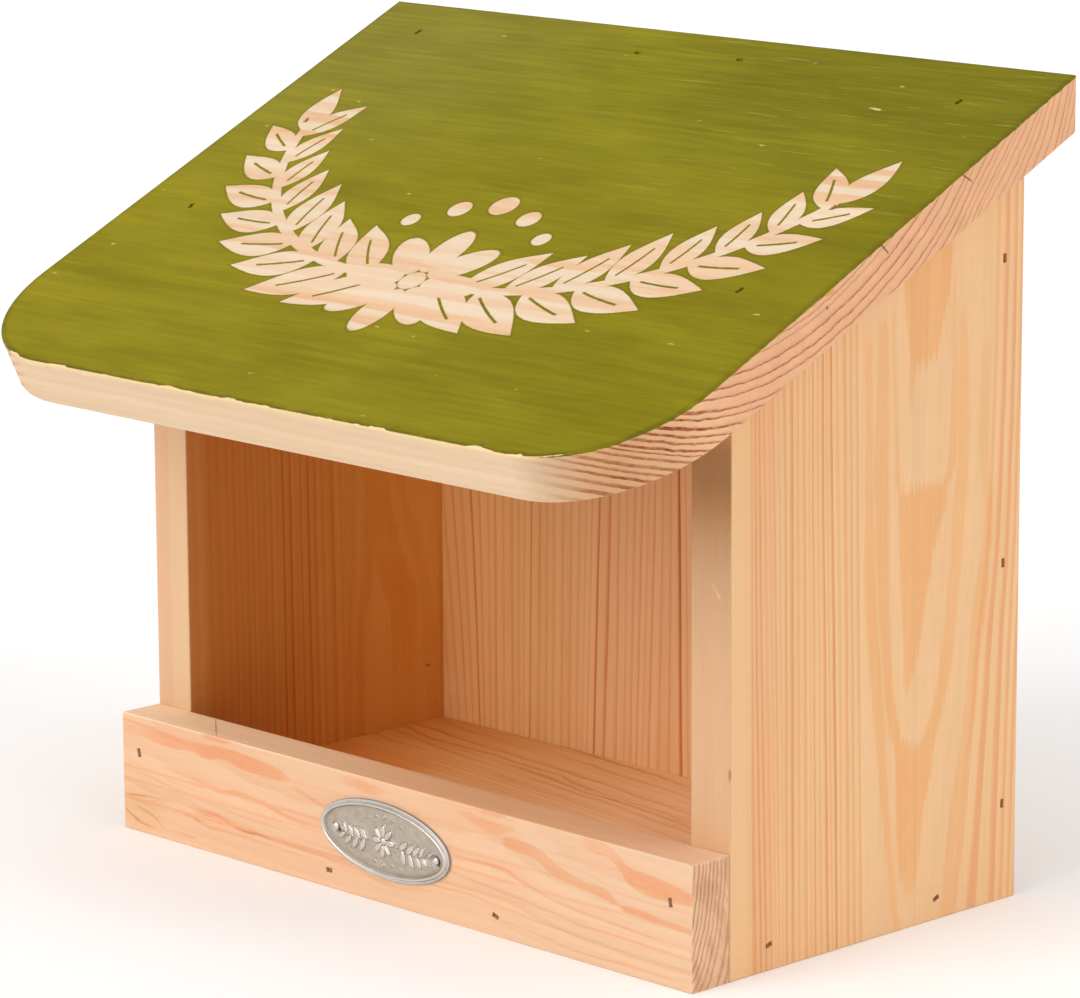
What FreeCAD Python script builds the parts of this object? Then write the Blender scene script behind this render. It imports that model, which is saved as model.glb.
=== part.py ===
import FreeCAD, Part
import math
import os

from FreeCAD import Vector

# Wall-mounted bird table: a nailed box of planed softwood boards with an open front, a low front rail
# and a sloping roof board. Millimetres. +Z up, +X to the right seen from the front, +Y into the wall.
# Origin: the axis of the wall screw where it seats in the keyhole, on the wall plane (y = 0).

# ---------------------------------------------------------------- driving dimensions
BOARD_T = 15.0          # thickness of every board
BODY_W = 245.0          # across the outer faces of the side boards
BODY_D = 122.0          # depth of a side board, from the wall to the back of the rail
RAIL_H = 37.0           # height of the front rail
FLOOR_LIFT = 1.2        # floor board's underside above the lower edges of the sides
ROOF_TOP = 245.0        # roof's top face at the wall, above the lower edges of the sides
ROOF_SLOPE = 25.5       # degrees, falling towards the front
ROOF_W = 282.0          # along the wall
ROOF_L = 206.0          # down the slope, on the top face
ROOF_R = 41.0           # front corners of the roof
HANG_Z = 200.0          # wall screw above the lower edges of the sides
EASE = 0.45             # rounding of the board arrises

BRAD_L = 28.0           # brad, head to point
BRAD_HEAD = (2.1, 1.15, 0.8)    # T-head: long, short, thick
BRAD_SHANK = (1.25, 1.05)       # shank section: long, short
BRAD_PIT = (2.7, 1.5)           # mouth of the pit that the driver leaves
BRAD_SUNK = 0.7         # top of the head under the wood's face
BRAD_GAP = 0.05         # room round the shank

PLATE_A, PLATE_B = 27.9, 11.5   # oval plate, half length and half height
PLATE_T = 1.7           # at the rim
PLATE_FIELD_T = 1.0     # inside the rim
PLATE_RIM = 2.1         # width of the rim
PLATE_X, PLATE_Z = -2.1, 19.4   # its middle, above the lower edges of the sides
PLATE_TILT = 2.2        # degrees, right end lower
TACKS = ((-20.7, -0.2), (22.3, -0.7))   # tacks from the plate's middle: along it, up it
TACK_HEAD_R, TACK_HEAD_T = 1.35, 0.7
TACK_SHANK_R, TACK_L = 0.65, 11.0

HANGER_W, HANGER_H, HANGER_T, HANGER_R = 50.0, 22.0, 1.5, 6.0
HANGER_DROP = 4.5       # plate's middle under the seat of the keyhole
KEY_SLOT_R = 2.4        # narrow part of the keyhole
KEY_ENTRY_R, KEY_ENTRY_DROP = 4.5, 7.0
HSCREW_OFF = 18.5       # hanger screws from the middle
HSCREW_HEAD_R, HSCREW_R, HSCREW_L = 3.0, 1.5, 11.0
POCKET_W, POCKET_TOP, POCKET_LOW, POCKET_D = 11.0, 5.0, 12.6, 8.5

# ---------------------------------------------------------------- derived
TH = math.radians(ROOF_SLOPE)
SIN, COS, TAN = math.sin(TH), math.cos(TH), math.tan(TH)
XI = BODY_W / 2 - BOARD_T               # inner face of a side board
XO = BODY_W / 2                         # outer face
UNDER = ROOF_TOP - BOARD_T / COS        # roof's underside at the wall
FLOOR_TOP = FLOOR_LIFT + BOARD_T


def under(y):
    """Height of the roof's underside at depth y (y is negative in front of the wall)."""
    return UNDER + TAN * y


def poly(points):
    return Part.Face(Part.makePolygon(points + [points[0]]))


def is_seam(edge, shape):
    """True where the two faces at an edge run smoothly into each other."""
    faces = [f for f in shape.Faces if any(e.isSame(edge) for e in f.Edges)]
    if len(faces) != 2:
        return True
    mid = edge.valueAt((edge.FirstParameter + edge.LastParameter) / 2)
    n = [f.normalAt(*f.Surface.parameter(mid)) for f in faces]
    return abs(n[0].dot(n[1])) > 0.999


def ease(shape, r=EASE):
    """Rounds every real arris of a board."""
    edges = [e for e in shape.Edges if not is_seam(e, shape)]
    return shape.makeFillet(r, edges)


def block(lx, ly, lz, centre, ax, ay):
    """A box of sizes lx, ly, lz along ax, ay and ax x ay, with its middle at centre."""
    az = ax.cross(ay)
    m = FreeCAD.Matrix(ax.x, ay.x, az.x, centre.x,
                       ax.y, ay.y, az.y, centre.y,
                       ax.z, ay.z, az.z, centre.z,
                       0, 0, 0, 1)
    return Part.makeBox(lx, ly, lz, Vector(-lx / 2, -ly / 2, -lz / 2)).transformGeometry(m)


def brad(p, into, along):
    """A T-head brad driven at p of a face, in the direction into, its head's long side along `along`."""
    into, along = into.normalize(), along.normalize()
    side = into.cross(along)
    head0 = p + into * BRAD_SUNK
    hl, hs, ht = BRAD_HEAD
    sl, ss = BRAD_SHANK
    head = block(hl, hs, ht, head0 + into * (ht / 2), along, side)
    body_l = BRAD_L - ht - 2.0
    shank = block(sl, ss, body_l, head0 + into * (ht + body_l / 2), along, side)
    a = head0 + into * (ht + body_l)
    c = [a + along * (sl / 2 * i) + side * (ss / 2 * j) for i, j in ((-1, -1), (1, -1), (1, 1), (-1, 1))]
    t = [a + into * 2.0 + side * (ss / 2 * j) for j in (-1, 1)]
    tip = Part.makeSolid(Part.makeShell([
        poly([c[0], c[1], c[2], c[3]]), poly([c[0], c[1], t[0]]), poly([c[2], c[3], t[1]]),
        poly([c[1], c[2], t[1], t[0]]), poly([c[3], c[0], t[0], t[1]])]))
    return head.fuse([shank, tip]).removeSplitter()


def brad_hole(p, into, along):
    """The pit over the head and the way of the shank, with BRAD_GAP of room."""
    into, along = into.normalize(), along.normalize()
    side = into.cross(along)
    pl, ps = BRAD_PIT
    d = BRAD_SUNK + BRAD_HEAD[2]
    pit = block(pl, ps, d + 1.0, p + into * (d / 2 - 0.5), along, side)
    length = BRAD_L - BRAD_HEAD[2] + 0.3
    way = block(BRAD_SHANK[0] + 2 * BRAD_GAP, BRAD_SHANK[1] + 2 * BRAD_GAP, length,
                p + into * (d + length / 2), along, side)
    return [pit, way]


# ---------------------------------------------------------------- brads: place, direction, head's long side
X, Y, Z = Vector(1, 0, 0), Vector(0, 1, 0), Vector(0, 0, 1)
DOWN = Vector(0, SIN, -COS)             # square into the roof board
SLOPE = Vector(0, -COS, -SIN)           # down the roof


def on_roof(u, s):
    """A point of the roof's top face: u along the wall, s down the slope from the wall."""
    return Vector(u, -s * COS, ROOF_TOP - s * SIN)


def turned(vec, about, deg):
    return FreeCAD.Rotation(about, deg).multVec(vec)


ROOF_BRADS = [(on_roof(u, s), DOWN, turned(SLOPE, DOWN, a)) for u, s, a in (
    (-116.6, 16.3, 8), (-115.4, 70.4, -12), (-117.0, 121.7, -18),
    (112.9, 20.1, 10), (112.4, 77.6, 5), (113.4, 120.8, 14))]
# the two over the back board are driven nearly upright, to stay inside it
UPRIGHT = Vector(0, math.sin(math.radians(8)), -math.cos(math.radians(8)))
ROOF_BRADS += [(on_roof(u, s), UPRIGHT, turned(X, UPRIGHT, a)) for u, s, a in ((-20.9, 14.0, 6), (19.8, 11.6, -4))]
RIGHT_BRADS = [(Vector(XO, y, z), -X, turned(Z, X, a)) for y, z, a in (
    (-8.3, 191.3, 0), (-7.2, 101.7, 2), (-6.2, 29.3, 0), (-35.0, 6.4, -68), (-105.9, 7.6, -76))]
LEFT_BRADS = [(Vector(-XO, y, z), X, turned(Z, X, a)) for y, z, a in (
    (-7.4, 188.6, 2), (-8.1, 104.9, -3), (-7.0, 31.8, 0), (-33.2, 7.0, 74), (-104.1, 6.8, 81))]
RAIL_BRADS = [(Vector(x, -BODY_D - BOARD_T, z), Y, turned(Z, Y, a)) for x, z, a in (
    (-114.7, 25.3, -14), (-27.3, 5.4, 88), (44.1, 6.1, 108), (114.2, 24.7, -10))]


def cut_brads(shape, *groups):
    tools = []
    for group in groups:
        for p, into, along in group:
            for tool in brad_hole(p, into, along):
                if tool.BoundBox.intersect(shape.BoundBox):
                    tools.append(tool)
    return shape.cut(tools) if tools else shape


# ---------------------------------------------------------------- boards
def side_panel(sign):
    x0 = XI if sign > 0 else -XO
    profile = [Vector(x0, 0, 0), Vector(x0, -BODY_D, 0), Vector(x0, -BODY_D, under(-BODY_D)), Vector(x0, 0, under(0))]
    board = ease(poly(profile).extrude(Vector(BOARD_T, 0, 0)))
    return cut_brads(board, ROOF_BRADS, RIGHT_BRADS if sign > 0 else LEFT_BRADS, RAIL_BRADS)


def rounded_plate(w, h, r, y0, y1, cx, cz):
    """An upright plate with rounded corners between y0 and y1, its middle at cx, cz."""
    box = Part.makeBox(w, abs(y1 - y0), h, Vector(cx - w / 2, min(y0, y1), cz - h / 2))
    upright = [e for e in box.Edges if abs(e.tangentAt(e.FirstParameter).dot(Y)) > 0.99]
    return box.makeFillet(r, upright)


def keyhole(r_slot, r_entry, y0, y1):
    """The keyhole's outline as a solid between y0 and y1, its seat's centre on the wall screw."""
    h = y1 - y0
    top = Part.makeCylinder(r_slot, h, Vector(0, y0, HANG_Z), Y)
    mid = Part.makeBox(2 * r_slot, h, KEY_ENTRY_DROP, Vector(-r_slot, y0, HANG_Z - KEY_ENTRY_DROP))
    low = Part.makeCylinder(r_entry, h, Vector(0, y0, HANG_Z - KEY_ENTRY_DROP), Y)
    return low.fuse([mid, top]).removeSplitter()


def screw_holes(r, head_r, depth):
    """Countersunk holes from the wall plane inwards, as solids."""
    out = []
    for s in (-1, 1):
        p = Vector(s * HSCREW_OFF, 0, HANG_Z - HANGER_DROP)
        out.append(Part.makeCylinder(r, depth, p, -Y))
        out.append(Part.makeCone(head_r, r, head_r - r, p, -Y))
    return out


def back_panel():
    profile = [Vector(-XI, 0, 0), Vector(-XI, -BOARD_T, 0), Vector(-XI, -BOARD_T, under(-BOARD_T)), Vector(-XI, 0, under(0))]
    board = ease(poly(profile).extrude(Vector(2 * XI, 0, 0)))
    recess = rounded_plate(HANGER_W + 0.4, HANGER_H + 0.4, HANGER_R + 0.2, -HANGER_T, 1.0, 0, HANG_Z - HANGER_DROP)
    pocket_h = POCKET_TOP + POCKET_LOW
    pocket = rounded_plate(POCKET_W, pocket_h, POCKET_W / 2 - 0.01, -POCKET_D, 0.5, 0, HANG_Z + (POCKET_TOP - POCKET_LOW) / 2)
    pilots = [Part.makeCylinder(HSCREW_R + BRAD_GAP, HSCREW_L + 0.5, Vector(s * HSCREW_OFF, 0, HANG_Z - HANGER_DROP), -Y) for s in (-1, 1)]
    board = board.cut([recess, pocket] + pilots)
    return cut_brads(board, ROOF_BRADS, RIGHT_BRADS, LEFT_BRADS)


def floor_panel():
    board = ease(Part.makeBox(2 * XI, BODY_D - BOARD_T, BOARD_T, Vector(-XI, -BODY_D, FLOOR_LIFT)))
    return cut_brads(board, RIGHT_BRADS, LEFT_BRADS, RAIL_BRADS)


def plate_frame(x, z):
    """A point of the rail's face in the tilted frame of the oval plate."""
    t = math.radians(PLATE_TILT)
    return Vector(PLATE_X + x * math.cos(t) + z * math.sin(t), -BODY_D - BOARD_T, PLATE_Z - x * math.sin(t) + z * math.cos(t))


def front_rail():
    board = ease(Part.makeBox(BODY_W, BOARD_T, RAIL_H, Vector(-XO, -BODY_D - BOARD_T, 0)))
    tacks = [Part.makeCylinder(TACK_SHANK_R + 0.03, TACK_L - PLATE_FIELD_T + 0.3, plate_frame(x, z), Y) for x, z in TACKS]
    return cut_brads(board.cut(tacks), RAIL_BRADS)


def roof_board():
    s_back = 0.0
    w = ROOF_W / 2
    flat = []
    # outline on the top face, then squared down through the board
    pts = [on_roof(-w, s_back), on_roof(-w, ROOF_L - ROOF_R), on_roof(-w + ROOF_R * (1 - math.sqrt(0.5)), ROOF_L - ROOF_R * (1 - math.sqrt(0.5))),
           on_roof(-w + ROOF_R, ROOF_L), on_roof(w - ROOF_R, ROOF_L),
           on_roof(w - ROOF_R * (1 - math.sqrt(0.5)), ROOF_L - ROOF_R * (1 - math.sqrt(0.5))), on_roof(w, ROOF_L - ROOF_R), on_roof(w, s_back)]
    flat = [Part.LineSegment(pts[0], pts[1]).toShape(), Part.Arc(pts[1], pts[2], pts[3]).toShape(), Part.LineSegment(pts[3], pts[4]).toShape(),
            Part.Arc(pts[4], pts[5], pts[6]).toShape(), Part.LineSegment(pts[6], pts[7]).toShape(), Part.LineSegment(pts[7], pts[0]).toShape()]
    board = Part.Face(Part.Wire(flat)).extrude(DOWN * BOARD_T)
    # the back edge is bevelled upright, flush with the wall plane
    behind = Part.makeBox(ROOF_W + 20, 30, 60, Vector(-w - 10, 0, ROOF_TOP - 50))
    return cut_brads(ease(board.cut(behind)), ROOF_BRADS)


# ---------------------------------------------------------------- metal pieces
def oval(a, b, y0, y1):
    """An oval block of half sizes a, b between y0 and y1, in the plate's tilted place."""
    face = Part.Face(Part.Wire(Part.Ellipse(Vector(0, 0, 0), a, b).toShape()))
    t = math.radians(PLATE_TILT)
    # local x along the plate, local y up, local z out of the rail
    m = FreeCAD.Matrix(math.cos(t), math.sin(t), 0, PLATE_X,
                       0, 0, -1, y0,
                       -math.sin(t), math.cos(t), 0, PLATE_Z,
                       0, 0, 0, 1)
    solid = face.extrude(Vector(0, 0, y0 - y1))
    solid.Placement = FreeCAD.Placement(m)
    return solid


def oval_plate():
    y_face = -BODY_D - BOARD_T
    body = oval(PLATE_A, PLATE_B, y_face, y_face - PLATE_T)
    rim_out = [e for e in body.Edges if abs(e.BoundBox.YMin - (y_face - PLATE_T)) < 1e-3 and e.BoundBox.YLength < 1e-3]
    body = body.makeFillet(0.75, rim_out)
    field = oval(PLATE_A - PLATE_RIM, PLATE_B - PLATE_RIM, y_face - PLATE_FIELD_T, y_face - PLATE_T - 1)
    body = body.cut(field)
    rim_in = [e for e in body.Edges if e.BoundBox.YLength < 1e-3 and abs(e.BoundBox.YMin - (y_face - PLATE_T)) < 1e-3]
    body = body.makeFillet(0.35, rim_in)
    holes = [Part.makeCylinder(TACK_SHANK_R + 0.1, 6, plate_frame(x, z) - Y * 3, Y) for x, z in TACKS]
    return body.cut(holes)


def tack(p):
    """A small round-head tack through the plate: the head rests on the plate's field."""
    base = p - Y * PLATE_FIELD_T
    r, t = TACK_HEAD_R, TACK_HEAD_T
    ball_r = (r * r + t * t) / (2 * t)
    ball = Part.makeSphere(ball_r, base + Y * (ball_r - t))
    head = ball.common(Part.makeCylinder(r, t + 0.2, base, -Y))
    shank = Part.makeCylinder(TACK_SHANK_R, TACK_L - 1.6, base, Y)
    tip = Part.makeCone(TACK_SHANK_R, 0.08, 1.6, base + Y * (TACK_L - 1.6), Y)
    return head.fuse([shank, tip]).removeSplitter()


def hanger_plate():
    cz = HANG_Z - HANGER_DROP
    plate = rounded_plate(HANGER_W, HANGER_H, HANGER_R, -HANGER_T, 0, 0, cz)
    outer = [e for e in plate.Edges if abs(e.BoundBox.YMin) < 1e-6 and e.BoundBox.YLength < 1e-6]
    plate = plate.makeFillet(0.35, outer)
    return plate.cut([keyhole(KEY_SLOT_R, KEY_ENTRY_R, -HANGER_T - 1, 1)] + screw_holes(HSCREW_R + 0.15, HSCREW_HEAD_R + 0.15, 4.0))


def hanger_screw(sign):
    p = Vector(sign * HSCREW_OFF, 0, HANG_Z - HANGER_DROP)
    head = Part.makeCone(HSCREW_HEAD_R, HSCREW_R, HSCREW_HEAD_R - HSCREW_R, p, -Y)
    shank = Part.makeCylinder(HSCREW_R, HSCREW_L - 2.5, p, -Y)
    tip = Part.makeCone(HSCREW_R, 0.15, 2.5, p - Y * (HSCREW_L - 2.5), -Y)
    body = head.fuse([shank, tip]).removeSplitter()
    # cross recess
    a = X if sign > 0 else turned(X, Y, 31)
    b = Y.cross(a)
    arms = [block(3.1, 0.75, 2.0, p, d, Y.cross(d) * -1) for d in (a, b)]
    return body.cut(arms)


# ---------------------------------------------------------------- nodes
nodes = {
    "left_side_panel": [side_panel(-1)],
    "right_side_panel": [side_panel(1)],
    "back_panel": [back_panel()],
    "floor_panel": [floor_panel()],
    "front_rail": [front_rail()],
    "roof_board": [roof_board()],
    "oval_plate": [oval_plate()],
    "plate_tacks": [tack(plate_frame(x, z)) for x, z in TACKS],
    "roof_brads": [brad(*b) for b in ROOF_BRADS],
    "right_side_brads": [brad(*b) for b in RIGHT_BRADS],
    "left_side_brads": [brad(*b) for b in LEFT_BRADS],
    "rail_brads": [brad(*b) for b in RAIL_BRADS],
    "hanger_plate": [hanger_plate()],
    "hanger_screws": [hanger_screw(s) for s in (-1, 1)],
}

os.makedirs("parts", exist_ok=True)
low, high = [1e9] * 3, [-1e9] * 3
for name, shapes in nodes.items():
    solids = []
    for shape in shapes:
        found = shape.Solids
        assert len(found) == 1, (name, len(found))
        one = found[0].copy()
        one.translate(Vector(0, 0, -HANG_Z))
        assert one.isValid() and one.Volume > 0, name
        solids.append(one)
    out = solids[0] if len(solids) == 1 else Part.makeCompound(solids)
    out.exportStep("parts/" + name + ".step")
    bb = out.optimalBoundingBox(False)
    low = [min(a, b) for a, b in zip(low, (bb.XMin, bb.YMin, bb.ZMin))]
    high = [max(a, b) for a, b in zip(high, (bb.XMax, bb.YMax, bb.ZMax))]
    print(f"{name:18s} solids {len(solids)}  volume {sum(s.Volume for s in solids) / 1000:9.3f} cm3  faces {sum(len(s.Faces) for s in solids)}")
print("box", [round(v, 2) for v in low], [round(v, 2) for v in high])
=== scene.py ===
import math

import bmesh
import bpy
from mathutils import Matrix, Vector, noise


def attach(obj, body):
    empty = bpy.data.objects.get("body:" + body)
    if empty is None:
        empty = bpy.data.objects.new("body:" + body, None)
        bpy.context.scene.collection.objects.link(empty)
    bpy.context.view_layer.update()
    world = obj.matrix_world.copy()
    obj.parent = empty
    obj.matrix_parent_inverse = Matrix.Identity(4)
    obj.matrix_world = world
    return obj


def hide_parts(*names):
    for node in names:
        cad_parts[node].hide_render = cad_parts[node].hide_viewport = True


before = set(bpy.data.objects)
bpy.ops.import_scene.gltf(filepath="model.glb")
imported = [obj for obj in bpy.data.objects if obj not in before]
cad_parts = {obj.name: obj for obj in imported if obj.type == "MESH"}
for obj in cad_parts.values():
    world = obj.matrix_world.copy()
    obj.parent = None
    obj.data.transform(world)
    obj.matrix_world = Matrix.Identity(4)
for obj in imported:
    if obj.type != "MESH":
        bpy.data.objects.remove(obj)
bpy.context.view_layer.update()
scene = bpy.context.scene

# ------------------------------------------------------------------ camera
# yaw 45.77, pitch 11.84, roll -0.29 degrees, about 1.5 m from the box
A, E, R = math.radians(45.77), math.radians(11.8367), math.radians(-0.2904)
back = Vector((math.sin(A) * math.cos(E), -math.cos(A) * math.cos(E), math.sin(E)))
right = Vector((math.cos(A), math.sin(A), 0.0))
up = back.cross(right)
cam_x = right * math.cos(R) + up * math.sin(R)
cam_y = -right * math.sin(R) + up * math.cos(R)
cam = bpy.data.cameras.new("camera")
cam.sensor_width = 36.0
cam.lens = 167.4664
cam.clip_start, cam.clip_end = 0.05, 50.0
camera = bpy.data.objects.new("camera", cam)
m = Matrix((cam_x, cam_y, back)).transposed().to_4x4()
m.translation = Vector((1.048348, -1.095904, 0.219514))
camera.matrix_world = m
scene.collection.objects.link(camera)
scene.camera = camera
scene.view_settings.view_transform = "Standard"
scene.view_settings.look = "None"


# ------------------------------------------------------------------ shader kit
class Num:
    """An output of a shader tree that takes part in sums and products."""

    def __init__(self, tree, socket):
        self.t, self.s = tree, socket

    def __add__(self, o):
        return self.t.math("ADD", self, o)

    def __sub__(self, o):
        return self.t.math("SUBTRACT", self, o)

    def __rsub__(self, o):
        return self.t.math("SUBTRACT", o, self)

    def __mul__(self, o):
        return self.t.math("MULTIPLY", self, o)

    def __truediv__(self, o):
        return self.t.math("DIVIDE", self, o)

    def __neg__(self):
        return self.t.math("MULTIPLY", self, -1.0)

    def __abs__(self):
        return self.t.math("ABSOLUTE", self)

    __radd__, __rmul__ = __add__, __mul__


class Tree:
    """A material with its node tree, a Principled shader and object coordinates in millimetres."""

    def __init__(self, name, **shader):
        self.mat = bpy.data.materials.new(name)
        self.mat.use_nodes = True
        self.tree = self.mat.node_tree
        self.tree.nodes.clear()
        out = self.tree.nodes.new("ShaderNodeOutputMaterial")
        self.shader = self.tree.nodes.new("ShaderNodeBsdfPrincipled")
        self.tree.links.new(self.shader.outputs[0], out.inputs[0])
        for key, value in shader.items():
            self.shader.inputs[key.replace("_", " ")].default_value = value
        coord = self.tree.nodes.new("ShaderNodeTexCoord")
        scaled = self.vmath("SCALE", Num(self, coord.outputs["Object"]), scale=1000.0)
        self.p = scaled
        self.x, self.y, self.z = self.split(scaled)
        self._normal = None

    def put(self, socket, value):
        if isinstance(value, Num):
            self.tree.links.new(value.s, socket)
        elif value is not None:
            socket.default_value = value

    def math(self, op, a, b=None, c=None, clamp=False):
        node = self.tree.nodes.new("ShaderNodeMath")
        node.operation, node.use_clamp = op, clamp
        for socket, value in zip(node.inputs, (a, b, c)):
            self.put(socket, value)
        return Num(self, node.outputs[0])

    def vmath(self, op, a, b=None, scale=None):
        node = self.tree.nodes.new("ShaderNodeVectorMath")
        node.operation = op
        self.put(node.inputs[0], a)
        self.put(node.inputs[1], b)
        if scale is not None:
            self.put(node.inputs["Scale"], scale)
        return Num(self, node.outputs["Value" if op in ("DOT_PRODUCT", "LENGTH") else "Vector"])

    def vec(self, x, y, z):
        node = self.tree.nodes.new("ShaderNodeCombineXYZ")
        for socket, value in zip(node.inputs, (x, y, z)):
            self.put(socket, value)
        return Num(self, node.outputs[0])

    def split(self, v):
        node = self.tree.nodes.new("ShaderNodeSeparateXYZ")
        self.put(node.inputs[0], v)
        return [Num(self, o) for o in node.outputs]

    def min(self, a, b):
        return self.math("MINIMUM", a, b)

    def max(self, a, b):
        return self.math("MAXIMUM", a, b)

    def sqrt(self, a):
        return self.math("SQRT", a)

    def hypot(self, a, b):
        return self.sqrt(a * a + b * b)

    def ramp(self, x, x0, x1, y0=0.0, y1=1.0, smooth=True):
        node = self.tree.nodes.new("ShaderNodeMapRange")
        node.interpolation_type = "SMOOTHSTEP" if smooth else "LINEAR"
        for i, value in enumerate((x, x0, x1, y0, y1)):
            self.put(node.inputs[i], value)
        return Num(self, node.outputs[0])

    def curve(self, x, points, soft=False, flat=False):
        """Runs x through a line or a smooth curve that passes through the points, level beyond them if flat."""
        xs, ys = [p[0] for p in points], [p[1] for p in points]
        x0, x1, y0, y1 = xs[0], xs[-1], min(ys), max(ys)
        y1 = y1 if y1 > y0 else y0 + 1.0
        node = self.tree.nodes.new("ShaderNodeFloatCurve")
        line = node.mapping.curves[0]
        while len(line.points) < len(points):
            line.points.new(0.5, 0.5)
        for q, px, py in zip(line.points, xs, ys):
            q.location = ((px - x0) / (x1 - x0), (py - y0) / (y1 - y0))
            q.handle_type = "AUTO" if soft else "VECTOR"
        if flat:
            node.mapping.extend = "HORIZONTAL"
        node.mapping.update()
        self.put(node.inputs["Value"], (x - x0) / (x1 - x0))
        return Num(self, node.outputs[0]) * (y1 - y0) + y0

    def noise(self, v, detail=2.0, rough=0.5, lac=2.0):
        node = self.tree.nodes.new("ShaderNodeTexNoise")
        node.noise_dimensions = "3D"
        self.put(node.inputs["Vector"], v)
        node.inputs["Scale"].default_value = 1.0
        node.inputs["Detail"].default_value = detail
        node.inputs["Roughness"].default_value = rough
        node.inputs["Lacunarity"].default_value = lac
        return Num(self, node.outputs[0])

    def cells(self, v, jitter=1.0, feature="F1"):
        node = self.tree.nodes.new("ShaderNodeTexVoronoi")
        node.feature = feature
        self.put(node.inputs["Vector"], v)
        node.inputs["Scale"].default_value = 1.0
        node.inputs["Randomness"].default_value = jitter
        return Num(self, node.outputs["Distance"])

    def cell_value(self, v):
        node = self.tree.nodes.new("ShaderNodeTexVoronoi")
        self.put(node.inputs["Vector"], v)
        node.inputs["Scale"].default_value = 1.0
        sep = self.tree.nodes.new("ShaderNodeSeparateColor")
        self.tree.links.new(node.outputs["Color"], sep.inputs[0])
        return Num(self, sep.outputs[0])

    def white(self, w):
        node = self.tree.nodes.new("ShaderNodeTexWhiteNoise")
        node.noise_dimensions = "1D"
        self.put(node.inputs["W"], w)
        return Num(self, node.outputs["Value"])

    def mix(self, a, b, f, mode="MIX"):
        """Mixes two colours."""
        node = self.tree.nodes.new("ShaderNodeMix")
        node.data_type, node.blend_type = "RGBA", mode
        node.clamp_factor = True
        self.put(node.inputs[0], f)
        for socket, value in ((node.inputs[6], a), (node.inputs[7], b)):
            self.put(socket, value if isinstance(value, Num) else (*value, 1.0)[:4])
        return Num(self, node.outputs[2])

    def lerp(self, a, b, f):
        return a + (b - a) * f

    def gain(self, colour, k):
        """A colour times a number."""
        return self.vmath("SCALE", colour, scale=k)

    def spot(self, a, b, a0, b0, ra, rb, lean=0.0, soft=0.5):
        """1 inside an oval of half sizes ra, rb about a0, b0, turned by lean."""
        c, s = math.cos(lean), math.sin(lean)
        da, db = a - a0, b - b0
        u = (da * c + db * s) * (1 / ra)
        v = (db * c - da * s) * (1 / rb)
        return self.ramp(self.hypot(u, v), 1.0 + soft, 1.0 - soft)

    def band(self, a, b, points, blur=0.3):
        """Strength of a streak that runs along a. points: a, middle b, half width, strength."""
        mid = self.curve(a, [(p[0], p[1]) for p in points], True, True)
        half = self.curve(a, [(p[0], p[2]) for p in points], True, True)
        power = self.curve(a, [(p[0], p[3]) for p in points], False, True)
        return self.ramp(abs(b - mid) - half, blur, -blur) * power

    def normal(self):
        if self._normal is None:
            node = self.tree.nodes.new("ShaderNodeNewGeometry")
            self._normal = self.split(Num(self, node.outputs["Normal"]))
        return self._normal

    def finish(self, colour, rough, height, metallic=None):
        """height is in millimetres."""
        bump = self.tree.nodes.new("ShaderNodeBump")
        bump.inputs["Strength"].default_value = 1.0
        bump.inputs["Distance"].default_value = 0.001
        self.put(bump.inputs["Height"], height)
        self.tree.links.new(bump.outputs[0], self.shader.inputs["Normal"])
        self.put(self.shader.inputs["Base Color"], colour)
        self.put(self.shader.inputs["Roughness"], rough)
        if metallic is not None:
            self.put(self.shader.inputs["Metallic"], metallic)
        return self.mat


def srgb(r, g, b):
    return tuple((c / 255 / 12.92 if c <= 10.3 else ((c / 255 + 0.055) / 1.055) ** 2.4) for c in (r, g, b))


# ------------------------------------------------------------------ solid wood
# Every board is cut from a trunk of its own: growth rings round a pith line, pale earlywood that turns into a
# band of latewood and stops sharply, per-ring strength, fibres along the grain, brown rings on the end grain.
def growth(t, r, rings, soft=False):
    """Ring number and latewood strength at radius r. rings is a list of (outer radius, strength)."""
    n = t.curve(r, [(q, float(i)) for i, (q, _) in enumerate(rings)], soft)
    strength = t.curve(t.math("FLOOR", n), [(i - 1.0, s) for i, (_, s) in enumerate(rings)], False, True)
    return n, strength


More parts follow.
